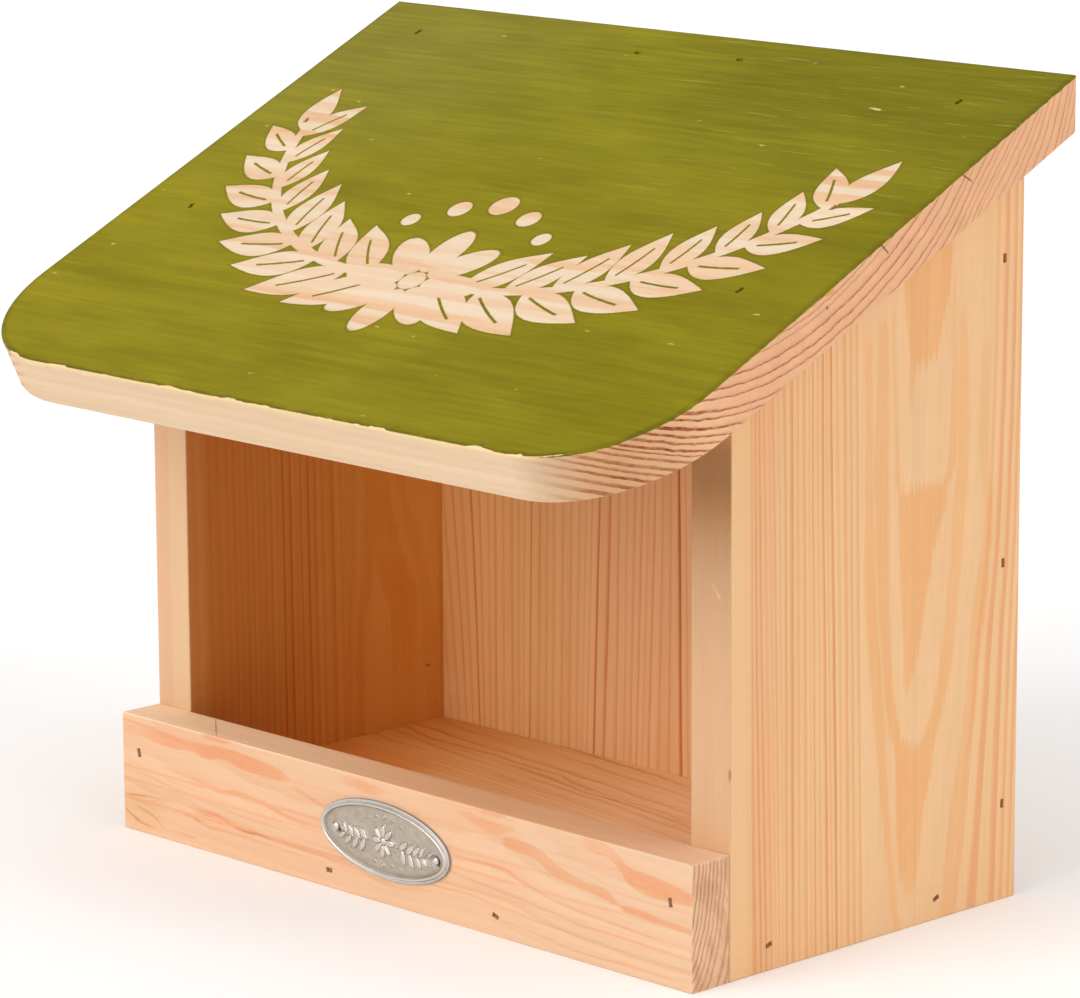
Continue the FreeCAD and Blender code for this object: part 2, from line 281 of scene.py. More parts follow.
def wood(t, L, W, T, n, strength, lk, end):
    """Colour, latewood share, height and end-grain share of solid wood. L runs along the grain."""
    seed = lk["seed"]
    k, f = t.math("FLOOR", n), t.math("FRACT", n)
    h1, h2, h3 = t.white(k + seed), t.white(k + (seed + 37.31)), t.white(k + (seed + 71.77))
    start = lk["start"] + lk["spread"] * h1
    stop = 1.0 - t.ramp(f, 0.93, 1.0)
    band = t.ramp(f, start, start + lk["rise"]) * stop
    g = band * (lk["base"] + (1.0 - lk["base"]) * f) * strength
    bold = t.ramp(f, 0.68, 0.88) * stop * t.ramp(strength, 0.66, 1.0) * lk["line"]
    # fibres: broad, thin and hair-fine streaks along the grain
    a1 = t.noise(t.vec(L * (1 / 85), W * (1 / 13), T * (1 / 13)), 2.0, 0.5) - 0.5
    a2 = t.noise(t.vec(L * (1 / 38) + 7.7, W * 0.75, T * 0.75), 3.0, 0.6) - 0.5
    a3 = t.noise(t.vec(L * (1 / 9) + 3.1, W * 3.1, T * 3.1), 2.0, 0.6) - 0.5
    late = t.mix(lk["late"], lk["late2"], h3 * lk["hue"])
    face = t.mix(lk["early"], late, g * lk["contrast"] * (1.0 + 0.8 * a2))
    face = t.mix(face, lk["bold"], bold * (1.0 + 1.2 * a2))
    face = t.mix(face, lk["warm"], t.ramp(a1, -0.02, 0.30, 0.0, lk["warmth"]))
    face = t.mix(face, lk["pale"], t.ramp(a1, 0.02, -0.30, 0.0, lk["paleness"]))
    tone = 1.0 + lk["streak"] * a2 + lk["hair"] * a3 + 0.05 * (h2 - 0.5)
    # resin canals: short fine dashes, mostly in the latewood
    dash = t.ramp(t.noise(t.vec(L * 0.13, W * 3.6 + 11.0, T * 3.6), 1.0, 0.4), 0.66, 0.78)
    tone = tone - dash * (0.04 + 0.08 * g)
    face = t.gain(face, tone)
    # end grain: crisp brown rings with a soft shade ahead of them, open pores, broad patches
    e1 = t.noise(t.vec(L * 0.2, W * 2.6, T * 2.6), 3.0, 0.65) - 0.5
    e2 = t.noise(t.vec(L * 0.1, W * 0.45, T * 0.45), 2.0, 0.5) - 0.5
    e3 = t.noise(t.vec(L * 0.05 + 4.0, W * 0.14, T * 0.14), 2.0, 0.5) - 0.5
    soft = t.ramp(f, 0.30 + 0.25 * h1, 0.92) * stop
    fine = t.ramp(f, lk["end_from"], lk["end_from"] + 0.12) * stop
    share = t.lerp(0.30, 1.0, strength)
    broken = t.ramp(e2 + 0.5 * e1, -0.22, 0.16, 0.35, 1.0)
    cut = t.mix(lk["end_early"], lk["end_late"], soft * share * lk["end_soft"])
    cut = t.mix(cut, lk["end_line"], fine * share * broken * lk["end_hard"])
    pore = t.ramp(t.noise(t.vec(L * 0.2, W * 2.3 + 20.0, T * 2.3), 1.0, 0.4), 0.68, 0.76) * fine * share
    cut = t.gain(cut, 1.0 + 0.15 * e1 + 0.12 * e2 + 0.20 * e3 - 0.22 * pore)
    colour = t.mix(face, cut, end)
    h_face = 0.025 * g + 0.050 * a2 + 0.038 * a3 - 0.03 * dash
    h_cut = 0.06 * e1 + 0.03 * fine - 0.05 * pore
    height = t.lerp(h_face, h_cut, end)
    return colour, g, height


def edge_of(t, spans):
    """Distance to the nearest arris of a box: the second smallest distance to its faces. spans: (coordinate, low, high)."""
    d = [t.max(t.min(c - lo, hi - c), 0.0) for c, lo, hi in spans]
    a, b, c = d
    lo, hi = t.min(a, b), t.max(a, b)
    return t.max(lo, t.min(hi, c))


def end_share(t, axis):
    """1 where the face looks along the grain. axis is the grain's direction."""
    nx, ny, nz = t.normal()
    d = nx * axis[0] + ny * axis[1] + nz * axis[2]
    return t.ramp(abs(d), 0.62, 0.86)


PINE = dict(
    early=srgb(243, 203, 160), late=srgb(232, 170, 114), late2=srgb(228, 160, 112), bold=srgb(212, 140, 78),
    warm=srgb(240, 188, 138), pale=srgb(246, 212, 168), end_early=srgb(232, 182, 140), end_late=srgb(208, 148, 106), end_line=srgb(158, 98, 64),
    seed=3.0, start=0.30, spread=0.10, rise=0.14, base=0.70, hue=0.6, contrast=1.0, line=0.5, warmth=0.4, paleness=0.4, streak=0.12, hair=0.10,
    end_from=0.78, end_soft=0.6, end_hard=0.8, tone=(1.0, 1.0, 1.0), wear=1.0)


def look(**changes):
    return {**PINE, **changes}


def wear(t, colour, height, edge, lk):
    """Handled arrises: a little polished and paler, partly from handling and partly a painted highlight, with small
    bruises.
    """
    amount = lk["wear"]
    n = t.noise(t.vec(t.x * 0.35, t.y * 0.35, t.z * 0.35), 3.0, 0.6)
    # paler arrises: partly handling, partly a painted highlight
    rub_and_highlight = t.ramp(edge + (n - 0.5) * 0.9, 0.9, 0.1)
    colour = t.mix(colour, lk["pale"], rub_and_highlight * 0.30 * amount)
    dent = t.ramp(n, 0.60, 0.72) * t.ramp(edge, 1.1, 0.2)
    return t.gain(colour, 1.0 - dent * 0.12 * amount), height - dent * 0.08


def pine_material(name, board):
    t = Tree(name, Specular_IOR_Level=0.22)
    L, W, T, n, strength, lk, axis, spans, tint = board(t)
    end = end_share(t, axis)
    colour, g, height = wood(t, L, W, T, n, strength, lk, end)
    colour, height = wear(t, colour, height, edge_of(t, spans), lk)
    if tint is not None:
        colour, height = tint(t, colour, height, g, end)
    if lk["tone"] != (1.0, 1.0, 1.0):
        colour = t.vmath("MULTIPLY", colour, lk["tone"])
    rough = t.lerp(0.62 - 0.10 * g, 0.76, end)
    return t.finish(colour, rough, height)


def more(rings, upto, step, sway=0.25):
    """Carries a list of rings on outwards, unevenly."""
    rings = list(rings)
    i = 0
    while rings[-1][0] < upto:
        w = step * (1 + sway * math.sin(2.4 * i + 1.0) + 0.5 * sway * math.sin(5.1 * i))
        rings.append((rings[-1][0] + w, 0.45 + 0.3 * math.sin(3.7 * i + 0.6) ** 2))
        i += 1
    return rings


def wobble(t, L, W, T, seed, big=0.8, small=0.18, long=70.0, teeth=0.3):
    """Unevenness of the rings: slow sway, small sway and ragged teeth along the fibres."""
    a = t.noise(t.vec(L * (1 / long) + seed, W * (1 / 22), T * (1 / 22)), 2.0, 0.5) - 0.5
    b = t.noise(t.vec(L * (1 / 16) + seed, W * 0.35, T * 0.35), 2.0, 0.55) - 0.5
    c = t.noise(t.vec(L * (1 / 14) + seed, W * 1.5, T * 1.5), 2.0, 0.6) - 0.5
    return a * (2 * big) + b * (2 * small) + c * (2 * teeth)


SIDE_TOP = 28.4


def times(t, colour, multiplier):
    """A colour times a colour."""
    return t.mix(colour, multiplier, 1.0, "MULTIPLY")


def streaks(t, a, b, lists, blur):
    """The strongest of several streaks at each point."""
    total = None
    for points in lists:
        one = t.band(a, b, points, blur)
        total = one if total is None else t.max(total, one)
    return total


# orange latewood of the side board where the saw ran flat to the rings: height, middle y, half width, strength
SIDE_ZONES = [
    [(164.4, -43.9, 4.8, 0), (165.5, -43.5, 5.2, 0.8), (167.1, -43.1, 5.9, 0.95), (170.0, -42.8, 6.4, 0.95), (178.0, -42.1, 7.9, 0.9), (187.3, -41.5, 9.6, 0.9), (204.0, -40.4, 10.1, 0.85), (204.7, -40.4, 10.1, 0)],
    [(150.5, -48.0, 0.4, 0), (152.7, -48.0, 0.7, 0.5), (158.0, -48.1, 1.0, 0.6), (164.7, -47.7, 1.7, 0.7), (166.7, -47.6, 1.9, 0)],
    [(128.4, -51.7, 1.7, 0), (129.5, -52.4, 1.3, 0.9), (134.0, -53.5, 1.1, 0.75), (143.3, -54.1, 0.9, 0.6), (156.7, -54.7, 0.8, 0.55), (170.0, -55.5, 0.7, 0.5), (180.7, -56.0, 0.7, 0.5), (183.3, -56.1, 0.6, 0)],
    [(128.0, -32.7, 1.3, 0), (129.5, -32.1, 1.6, 0.9), (135.3, -30.4, 1.5, 0.75), (146.0, -29.5, 1.6, 0.7), (156.7, -29.2, 1.6, 0.6), (166.0, -29.6, 1.2, 0.5), (175.3, -29.9, 0.9, 0.5), (187.3, -30.1, 0.7, 0.5), (190.0, -30.3, 0.5, 0)],
    [(71.1, -49.3, 0.7, 0), (72.1, -48.8, 1.2, 0.6), (74.0, -48.5, 1.7, 0.8), (82.0, -47.2, 3.3, 0.85), (90.0, -46.5, 4.5, 0.9), (95.3, -46.3, 5.1, 0.9), (103.3, -45.7, 6.1, 0.95), (110.0, -44.9, 7.5, 1), (118.0, -43.8, 9.0, 1), (124.7, -42.7, 10.3, 1), (129.2, -42.7, 10.3, 0.95), (130.5, -42.5, 9.3, 0)],
    [(50.7, -40.7, 2.7, 0), (52.0, -40.3, 3.1, 0.9), (56.7, -38.3, 2.9, 0.9), (63.3, -35.6, 2.4, 0.9), (70.0, -33.5, 2.4, 0.85), (79.3, -31.5, 2.5, 0.75), (90.0, -29.9, 2.5, 0.65), (100.7, -28.7, 2.7, 0.6), (108.7, -27.7, 2.5, 0.6), (119.3, -27.1, 2.7, 0.6), (130.0, -26.0, 2.7, 0.7), (140.7, -25.7, 2.4, 0.65), (154.0, -25.7, 2.4, 0.65), (166.0, -25.6, 2.0, 0.6), (178.0, -26.1, 1.2, 0.5), (180.0, -25.6, 0.7, 0)],
    [(50.0, -50.7, 2.0, 0), (51.3, -50.3, 3.2, 0.9), (56.7, -52.7, 2.4, 0.9), (62.0, -54.4, 2.0, 0.9), (68.7, -55.9, 1.9, 0.85), (76.7, -57.1, 2.0, 0.8), (83.3, -57.7, 2.1, 0.8), (96.7, -58.7, 2.5, 0.8), (114.0, -59.6, 2.7, 0.8), (127.3, -60.1, 2.9, 0.8), (140.7, -60.3, 3.1, 0.7), (154.0, -60.0, 2.8, 0.6), (170.0, -59.7, 2.3, 0.7), (178.0, -60.1, 1.9, 0.6), (181.3, -60.5, 1.5, 0)],
    [(8.4, -47.2, 1.2, 0), (11.1, -46.9, 2.3, 0.6), (16.7, -47.1, 3.8, 0.8), (23.3, -47.0, 4.7, 0.85), (34.0, -46.7, 5.7, 0.9), (42.0, -45.7, 7.1, 0.95), (50.0, -44.9, 8.0, 0.95), (52.4, -44.8, 5.7, 0.8), (54.3, -45.3, 1.7, 0)],
    [(0.4, -31.5, 1.7, 0.6), (16.7, -29.5, 1.9, 0.6), (30.0, -27.2, 2.5, 0.6), (42.0, -24.9, 2.4, 0.6), (52.7, -22.7, 2.3, 0.6), (63.3, -20.8, 2.5, 0.6), (76.7, -19.1, 2.4, 0.6), (90.0, -17.3, 3.1, 0.7), (103.3, -15.2, 2.3, 0.6), (114.0, -13.7, 1.9, 0.6), (122.0, -13.7, 1.6, 0.6), (130.0, -15.9, 2.1, 0.4), (143.3, -16.5, 2.0, 0.5), (167.3, -15.1, 2.1, 0.3), (170.0, -14.9, 2.3, 0)],
    [(0.4, -52.1, 1.6, 0.5), (10.0, -53.6, 1.5, 0.6), (23.3, -55.7, 1.5, 0.6), (36.7, -57.5, 1.6, 0.7), (50.0, -59.2, 1.7, 0.7), (63.3, -60.5, 2.0, 0.75), (76.7, -62.1, 2.3, 0.8), (90.0, -63.5, 2.3, 0.8), (103.3, -64.5, 2.3, 0.8), (116.7, -65.1, 2.0, 0.7), (130.0, -65.3, 1.7, 0.7), (143.3, -65.5, 1.6, 0.6), (156.7, -65.7, 1.6, 0.6), (174.0, -66.1, 1.7, 0.6), (176.7, -66.3, 1.6, 0)]]


def right_side(t):
    L, W, T = t.z + 200.0, t.y, 122.5 - t.x
    u = W + 122.0
    sway = wobble(t, L, W, T, 2.3, 0.45, 0.14, 90.0, 0.16)
    # upright lines at the front, leaning a little towards the wall on their way down
    lean = t.curve(u, [(0.0, 0.004), (9.0, 0.012), (16.0, 0.026), (21.0, 0.020), (24.0, 0.012), (30.0, 0.015), (36.0, 0.018), (42.3, 0.026), (48.0, 0.018), (54.0, 0.022), (64.0, 0.024)], True, True)
    q1 = u - lean * (100.0 - L) + 0.25 * T + sway
    n1, s1 = growth(t, q1, [
        (5.0, 0.10), (7.2, 0.25), (9.3, 0.6), (10.95, 0.75), (12.9, 0.7), (15.2, 0.35), (17.0, 0.3), (18.7, 0.5), (20.8, 0.35), (22.9, 0.65), (25.6, 0.8), (28.0, 0.4), (30.9, 0.5),
        (32.6, 0.35), (34.3, 0.75), (36.5, 0.4), (38.8, 0.85), (40.4, 0.5), (42.6, 1.0), (45.2, 0.4), (48.1, 0.6), (50.4, 0.5), (53.0, 0.5), (55.0, 0.0), (60.0, 0.0)])
    # wide lines towards the wall, sweeping forward on their way down
    drop = t.curve(L, [(-10.0, 12.4), (0.0, 11.5), (20.0, 9.7), (50.0, 7.2), (80.0, 5.2), (110.0, 2.2), (135.0, 1.2), (160.0, 0.3), (185.0, 0.0), (240.0, 0.0)], True, True)
    share = t.curve(u + drop, [(90.0, 2.0), (98.3, 1.8), (106.8, 1.4), (115.2, 1.0), (118.7, 0.8), (123.0, 0.6), (130.0, 0.45)], True, True)
    q2 = u + drop * share + 0.25 * T + 1.3 * sway
    n2, s2 = growth(t, q2, [(104.0, 0.0), (108.5, 0.0), (111.6, 0.45), (115.6, 1.0), (119.2, 0.9), (121.8, 0.7), (124.4, 0.8), (127.2, 0.7), (130.4, 0.8), (134.0, 0.7)])
    rear = t.math("GREATER_THAN", u, 78.0)
    n, s = t.lerp(n1, n2, rear), t.lerp(s1, s2, rear)
    lk = look(seed=3.0, start=t.lerp(0.30, 0.28, rear), spread=0.12, rise=0.34, base=0.55, line=t.lerp(0.6, 0.0, rear), contrast=1.2,
              late=t.mix(srgb(235, 172, 112), srgb(239, 178, 130), rear), late2=t.mix(srgb(235, 170, 120), srgb(238, 180, 138), rear), bold=srgb(224, 148, 82),
              early=srgb(244, 207, 163), hue=0.6, warmth=0.25, paleness=0.3, tone=(0.887, 0.803, 0.722))

    def tint(t, colour, height, g, end):
        n1 = t.noise(t.vec(L * (1 / 50), W * 0.6, T * 0.6), 2.0, 0.5) - 0.5
        face = 1.0 - end
        # flat-sawn arches: blunt tops, torn edges that follow the fibres
        torn = t.noise(t.vec(L * (1 / 70), W * 1.15, T * 0.5), 2.0, 0.65) - 0.5
        fine = t.noise(t.vec(L * (1 / 30), W * 2.2, T * 0.5 + 4.0), 2.0, 0.6) - 0.5
        slow = t.noise(t.vec(L * (1 / 26), W * (1 / 9), 2.0), 2.0, 0.5) - 0.5
        arches = streaks(t, L + 15.0 * torn + 8.0 * fine, W - 0.2 * T + 2.0 * slow + 0.6 * fine, SIDE_ZONES, 0.75)
        hair = t.noise(t.vec(L * (1 / 55) + 6.0, W * 3.0, 1.0), 2.0, 0.55) - 0.5
        arches = t.max(arches * (0.90 + 0.6 * torn + 0.4 * fine + 0.7 * hair), 0.0) * face
        colour = t.mix(colour, times(t, colour, (0.985, 0.80, 0.62)), arches)
        wander = t.y + 2.2 * n1
        sap = t.ramp(wander, -112.6, -114.8) * face
        colour = t.mix(colour, srgb(242, 203, 156), sap * 0.6)
        blush = t.ramp(wander, -115.2, -112.4) * t.ramp(wander, -100.5, -106.0) * face
        colour = t.mix(colour, times(t, colour, (0.97, 0.89, 0.90)), blush)
        warm = t.ramp(wander, -114.0, -110.0) * t.ramp(wander, -70.0, -86.0) * face
        colour = t.mix(colour, times(t, colour, (0.985, 0.965, 0.94)), warm)
        back_third = t.ramp(wander, -36.0, -14.0) * face
        colour = t.mix(colour, times(t, colour, (1.01, 1.005, 0.985)), back_third)
        # faint ripples that the planer leaves across the board
        ripple = t.noise(t.vec(L * 0.75, W * (1 / 30), T * (1 / 30)), 1.0, 0.5) - 0.5
        colour = t.gain(colour, 1.0 + 0.035 * ripple)
        # painted shade on the inner face: darker and more orange
        inside = t.ramp(t.x, 108.1, 107.6) * t.ramp(t.y, -121.9, -121.3)
        colour = t.mix(colour, times(t, colour, (0.98, 0.70, 0.30)), inside)
        # the front edge: painted shade, greyer all along and darkest where the roof keeps it from the light
        edge = t.ramp(t.y, -121.3, -121.8)
        shade = t.curve(L, [(0.0, 1.0), (85.0, 1.0), (105.0, 0.955), (118.0, 0.89), (128.0, 0.785), (138.0, 0.63), (146.0, 0.58), (153.0, 0.69), (162.0, 0.87), (190.0, 0.93)], True, True)
        grey = t.mix((0.775, 0.745, 0.805), (0.84, 0.69, 0.525), t.ramp(shade, 1.0, 0.55))
        streak = t.noise(t.vec(t.x * 1.1, 0.0, L * (1 / 40)), 2.0, 0.6) - 0.5
        colour = t.mix(colour, t.gain(times(t, colour, grey), shade * (1.0 + 0.14 * streak)), edge)
        # a dark sliver on the front arris and a grazed spot on the front edge
        sliver = t.spot(t.x - t.y, t.z, 244.4, -140.6, 0.45, 1.9, 0.06)
        colour = t.mix(colour, srgb(150, 112, 60), sliver * 0.6)
        graze = t.max(t.spot(t.x, t.z, 118.0, -90.0, 0.55, 1.0, 0.5), t.spot(t.x, t.z, 116.6, -88.2, 1.4, 0.36, -0.9))
        graze = graze * t.ramp(t.y, -121.2, -121.8)
        colour = t.mix(colour, srgb(252, 216, 182), graze * 0.38)
        return colour, height - graze * 0.06

    spans = [(t.x, 107.5, 122.5), (t.y, -122.0, 0.0), (t.z, -200.0, SIDE_TOP + 10)]
    return L, W, T, n, s, lk, (0, 0, 1), spans, tint


# the same on the inner face of the left board
INNER_ZONES = [
    [(16.2, -32.5, 5.3, 0.35), (31.9, -32.2, 5.5, 0.45), (39.7, -32.2, 5.5, 0.7), (47.5, -32.2, 5.6, 0.9), (55.3, -32.2, 5.7, 1), (63.1, -34.4, 6.8, 1), (69.4, -36.7, 6.4, 0.9), (74.8, -38.4, 5.8, 0.7), (80.3, -40.4, 4.7, 0.5), (84.2, -41.2, 3.9, 0)],
    [(16.2, -51.5, 1.8, 0.8), (31.9, -51.2, 1.8, 0.85), (47.5, -50.9, 1.4, 0.9), (56.9, -49.8, 1.6, 0.9), (63.1, -48.2, 2.3, 0.8), (74.8, -47.4, 2.1, 0.8), (86.6, -47.3, 2.1, 0.6), (94.4, -47.2, 2.0, 0.6)],
    [(73.3, -45.7, 3.7, 0), (78.8, -41.8, 7.6, 0.8), (86.6, -42.7, 6.5, 0.9), (94.4, -43.0, 5.7, 0.9), (102.2, -43.4, 5.3, 0.8), (117.8, -43.2, 5.1, 0.8)],
    [(16.2, -18.8, 2.9, 0.5), (39.7, -20.4, 3.4, 0.5), (55.3, -21.8, 2.4, 0.5), (67.0, -24.0, 2.3, 0.5), (78.8, -27.5, 2.7, 0.6), (90.5, -31.1, 1.6, 0.6), (102.2, -33.4, 1.6, 0.6), (117.8, -33.8, 1.2, 0.6)],
    [(16.2, -15.7, 0.7, 0.9), (55.3, -15.8, 0.7, 0.9), (74.8, -16.1, 0.8, 0.6), (86.6, -16.3, 0.7, 0.3)],
    [(16.2, -55.9, 1.0, 0.7), (39.7, -55.4, 1.1, 0.7), (63.1, -54.5, 0.8, 0.7), (86.6, -53.3, 1.2, 0.6), (117.8, -53.3, 1.2, 0.5)]]


def left_side(t):
    L, W, T = t.z + 200.0, t.y, -107.5 - t.x
    q = W + 0.3 * T + 0.008 * (L - 63.0) + wobble(t, L, W, T, 8.1, 0.4, 0.2, 80.0, 0.16)
    rings = [(-121.0, 0.1), (-118.0, 0.15), (-115.0, 0.2), (-112.0, 0.3), (-108.0, 0.4), (-104.5, 0.35), (-102.0, 0.5), (-99.5, 0.35), (-97.0, 0.55), (-94.6, 0.4),
             (-92.5, 0.55), (-89.5, 0.4), (-87.0, 0.7), (-84.6, 0.5), (-82.0, 1.0), (-78.8, 0.95), (-76.6, 0.4), (-74.6, 0.75), (-71.4, 0.9), (-68.5, 0.75),
             (-65.3, 0.6), (-61.0, 0.75), (-57.6, 0.6), (-54.5, 0.0), (-50.0, 0.0), (-14.0, 0.0), (-11.0, 0.4), (-7.5, 0.5), (-4.0, 0.4), (0.0, 0.4)]
    n, s = growth(t, q, rings)
    lk = look(seed=41.0, start=0.34, spread=0.14, rise=0.34, base=0.6, contrast=1.15, line=0.8, hue=0.3, late=srgb(234, 176, 116), bold=srgb(216, 146, 84), warmth=0.3)

    def tint(t, colour, height, g, end):
        torn = t.noise(t.vec(L * (1 / 60), W * 1.1, T * 0.5 + 2.0), 2.0, 0.65) - 0.5
        slow = t.noise(t.vec(L * (1 / 24), W * (1 / 9), 5.0), 2.0, 0.5) - 0.5
        arches = streaks(t, L + 14.0 * torn, W - 0.3 * T + 1.6 * slow, INNER_ZONES, 0.55)
        arches = t.max(arches * (0.95 + 0.7 * torn), 0.0) * (1.0 - end)
        colour = t.mix(colour, times(t, colour, (0.95, 0.84, 0.66)), arches)
        edge = t.ramp(t.y, -121.2, -121.8)
        half = t.ramp(t.x + 0.006 * (t.z + 120.0), -115.2, -116.0)
        colour = t.mix(colour, t.mix(srgb(243, 203, 158), srgb(240, 190, 152), half), edge * 0.6)
        # painted shade: the front edge darker all along
        colour = t.mix(colour, times(t, colour, (0.765, 0.735, 0.73)), edge)
        inside = t.ramp(t.x, -108.1, -107.6) * t.ramp(t.y, -121.9, -121.3)
        # painted shade on the inner face: darker and more orange, less so towards the wall and in a paler strip at the
        # mouth; more painted shade low down under the rail
        deep = times(t, colour, t.mix((0.635, 0.352, 0.122), (0.950, 0.750, 0.302), t.ramp(t.y, -118.0, -20.0, 0.0, 1.0, False)))
        strip = t.ramp(t.y, -112.0, -117.0)
        deep = t.mix(deep, times(t, deep, (1.09, 1.26, 1.7)), strip)
        low = t.ramp(L - 0.45 * (t.y + 122.0), 62.0, 10.0) * t.ramp(t.y, -60.0, -95.0)
        deep = t.mix(deep, times(t, deep, (0.90, 0.86, 0.78)), low)
        speck = t.spot(t.y, t.z, -21.6, -165.7, 1.2, 0.45) * inside
        deep = t.mix(deep, srgb(90, 44, 14), speck * 0.5)
        return t.mix(colour, deep, inside), height

    spans = [(t.x, -122.5, -107.5), (t.y, -122.0, 0.0), (t.z, -200.0, SIDE_TOP + 10)]
    return L, W, T, n, s, lk, (0, 0, 1), spans, tint


def back_board(t):
    L, W, T = t.z + 200.0, t.x, t.y + 15.0
    # the lines lean one way on the left and the other way in the middle of the board
    lean = t.curve(W, [(-112.0, 9.5), (-104.0, 8.6), (-96.2, 6.8), (-90.1, 4.0), (-85.5, 0.8), (-82.0, 0.1), (-74.6, 0.0), (-67.3, -1.5), (-60.0, -1.2), (-52.6, -1.3),
                       (-45.9, -2.0), (-38.3, -3.1), (-33.6, -3.3), (-27.0, -1.6), (-20.0, -2.8), (-14.2, -3.1), (-9.7, -2.0), (-5.3, -0.9), (0.3, 1.0), (8.0, 1.4),
                       (112.0, 1.0)], True, True)
    q = W - lean * t.max((100.0 - L) * (1 / 84.0), -0.3) + 0.45 * T + wobble(t, L, W, T, 5.2, 0.30, 0.16, 70.0, 0.14)
    rings = [(-125.0, 0.3), (-120.0, 0.3), (-116.0, 0.35), (-111.5, 0.3), (-107.0, 0.4), (-102.6, 0.75), (-98.2, 0.35), (-93.6, 0.95), (-89.6, 0.4), (-85.2, 0.5),
             (-81.9, 0.6), (-78.2, 0.35), (-74.2, 0.55), (-71.0, 0.35), (-68.3, 0.35), (-65.3, 0.95), (-61.2, 0.55), (-58.2, 0.4), (-55.0, 0.4), (-50.9, 0.55),
             (-47.3, 0.5), (-43.5, 0.5), (-40.6, 0.35), (-38.0, 0.4), (-34.8, 1.0), (-29.9, 0.85), (-26.3, 0.5), (-22.7, 0.5), (-19.1, 0.5), (-16.0, 0.6),
             (-13.4, 0.35), (-10.7, 0.6), (-7.3, 0.55), (-4.0, 0.45), (-0.3, 1.0), (2.3, 0.4)]
    n, s = growth(t, q, more(rings, 124.0, 3.3))

    def tint(t, colour, height, g, end):
        # painted shade on the face inside the box: darker and more orange, most at the left; painted light lifts its
        # left end
        inside = t.ramp(t.y, -14.4, -14.9)
        across = t.curve(t.x, [(-107.5, 1.12), (-90.0, 1.08), (-70.0, 0.975), (-52.0, 0.915), (-20.0, 0.93), (107.5, 0.945)], True, True)
        deep = t.gain(times(t, colour, t.mix((1.0, 0.89, 0.64), (1.0, 0.885, 0.765), t.ramp(t.x, -75.0, -15.0))), across)
        knot = t.spot(t.x, t.z, -103.3, -174.6, 1.6, 1.1, 0.4)
        halo = t.spot(t.x, t.z, -101.5, -173.0, 6.0, 4.5)
        deep = t.mix(deep, (1.0, 0.74, 0.42), t.max(knot * 0.45, halo * 0.14))
        dark = t.ramp(n, 33.58, 33.86) * t.ramp(n, 34.04, 33.98) * t.ramp(L, 30.0, 120.0, 0.45, 0.95)
        dark = t.max(dark, t.ramp(n, 23.72, 23.90) * t.ramp(n, 24.04, 23.98) * 0.45)
        deep = t.mix(deep, times(t, deep, (0.73, 0.54, 0.44)), dark)
        return t.mix(colour, deep, inside), height

    spans = [(t.x, -107.5, 107.5), (t.y, -15.0, 0.0), (t.z, -200.0, SIDE_TOP + 10)]
    lk = look(seed=11.0, start=0.44, spread=0.14, rise=0.34, base=0.6, contrast=1.15, late=srgb(229, 160, 102), late2=srgb(227, 154, 102), bold=srgb(212, 140, 84), line=0.7, hair=0.14)
    return L, W, T, n, s, lk, (0, 0, 1), spans, tint


# dark lines of the floor board's grain: x, y, half width, strength
FLOOR_LINES = [
    [(-55, -15.3, .8, 0), (-50, -15.6, .9, .6), (-30, -17.8, .9, .9), (-13, -19.4, .9, .9), (8, -22.2, .8, .6), (20, -23, .8, 0)],
    [(-107, -18, .5, .5), (-91, -21.7, .6, .6), (-76, -22.8, .6, .5), (-63, -23.9, .6, .3), (-50, -24.2, .6, 0)],
    [(-46, -24.0, .6, 0), (-43, -24.4, .6, .5), (-30, -25, .7, .65), (-19, -27.2, .7, .6), (-10, -28.3, .7, .55), (5, -29.4, .7, .5), (20, -32.2, .6, .4), (30, -33, .6, 0)],
    [(-107, -29.2, .6, .6), (-96, -29.4, .7, .9), (-87.5, -31.1, .7, .9), (-68.6, -32.8, .7, .7), (-45, -35, .6, .7), (-32, -36.1, .7, .8), (-18.6, -37.8, .7, .75),
     (-7.5, -38.9, .6, .6), (10, -42.2, .7, .8), (23.6, -43.9, .6, .7), (32, -45.5, .6, .4)],
    [(-107, -33, .8, .6), (-96.4, -35.6, .9, .95), (-87.5, -37.8, .8, .95), (-73, -37.8, .8, .85), (-57.5, -38.3, .8, .8), (-44, -40, .7, .8), (-30, -40.6, .6, .6),
     (-18.6, -43.9, .7, .8), (-9.7, -45.6, .8, .9), (-2, -46.6, .6, .6), (5.8, -47.4, .6, .7), (21.4, -48.9, .6, .8), (35.8, -51.7, .6, .6)],
    [(-107, -38.6, .6, .6), (-97.5, -40, .7, .7), (-88.6, -41.7, .7, .8), (-69.7, -45, .7, .6), (-60, -46.5, .6, .3), (-50, -47.5, .6, 0)],
    [(-48, -42.8, .6, 0), (-44, -43.3, .6, .7), (-32, -44.4, .7, .8), (-18.6, -47.2, .7, .8), (-7.5, -49.4, .7, .7), (4.7, -49.8, .7, .75), (21.4, -51.7, .6, .7),
     (31.4, -53.2, .6, .6), (42.5, -56, .6, .5)],
    [(-107, -44.4, .6, .7), (-100.8, -47.2, .6, .7), (-88.6, -48.3, .6, .5), (-78, -49, .5, 0)],
    [(-32, -49.2, .5, 0), (-29.7, -49.4, .6, .5), (-20.8, -50.6, .6, .6), (-9.7, -52.2, .6, .6), (3.6, -52.8, .6, .6), (12.5, -54.4, .6, .5), (25, -57, .6, .4)],
    [(18, -55, .5, 0), (20.3, -55.4, .6, .5), (36.9, -58.8, .6, .6), (45.8, -59.9, .6, .5), (60, -63, .6, .4)],
    [(-46, -53.5, .5, 0), (-40, -54.3, .7, .4), (-20, -57, .7, .4), (0, -59, .7, .3), (20, -62, .7, .3), (60, -69, .7, .3)]]


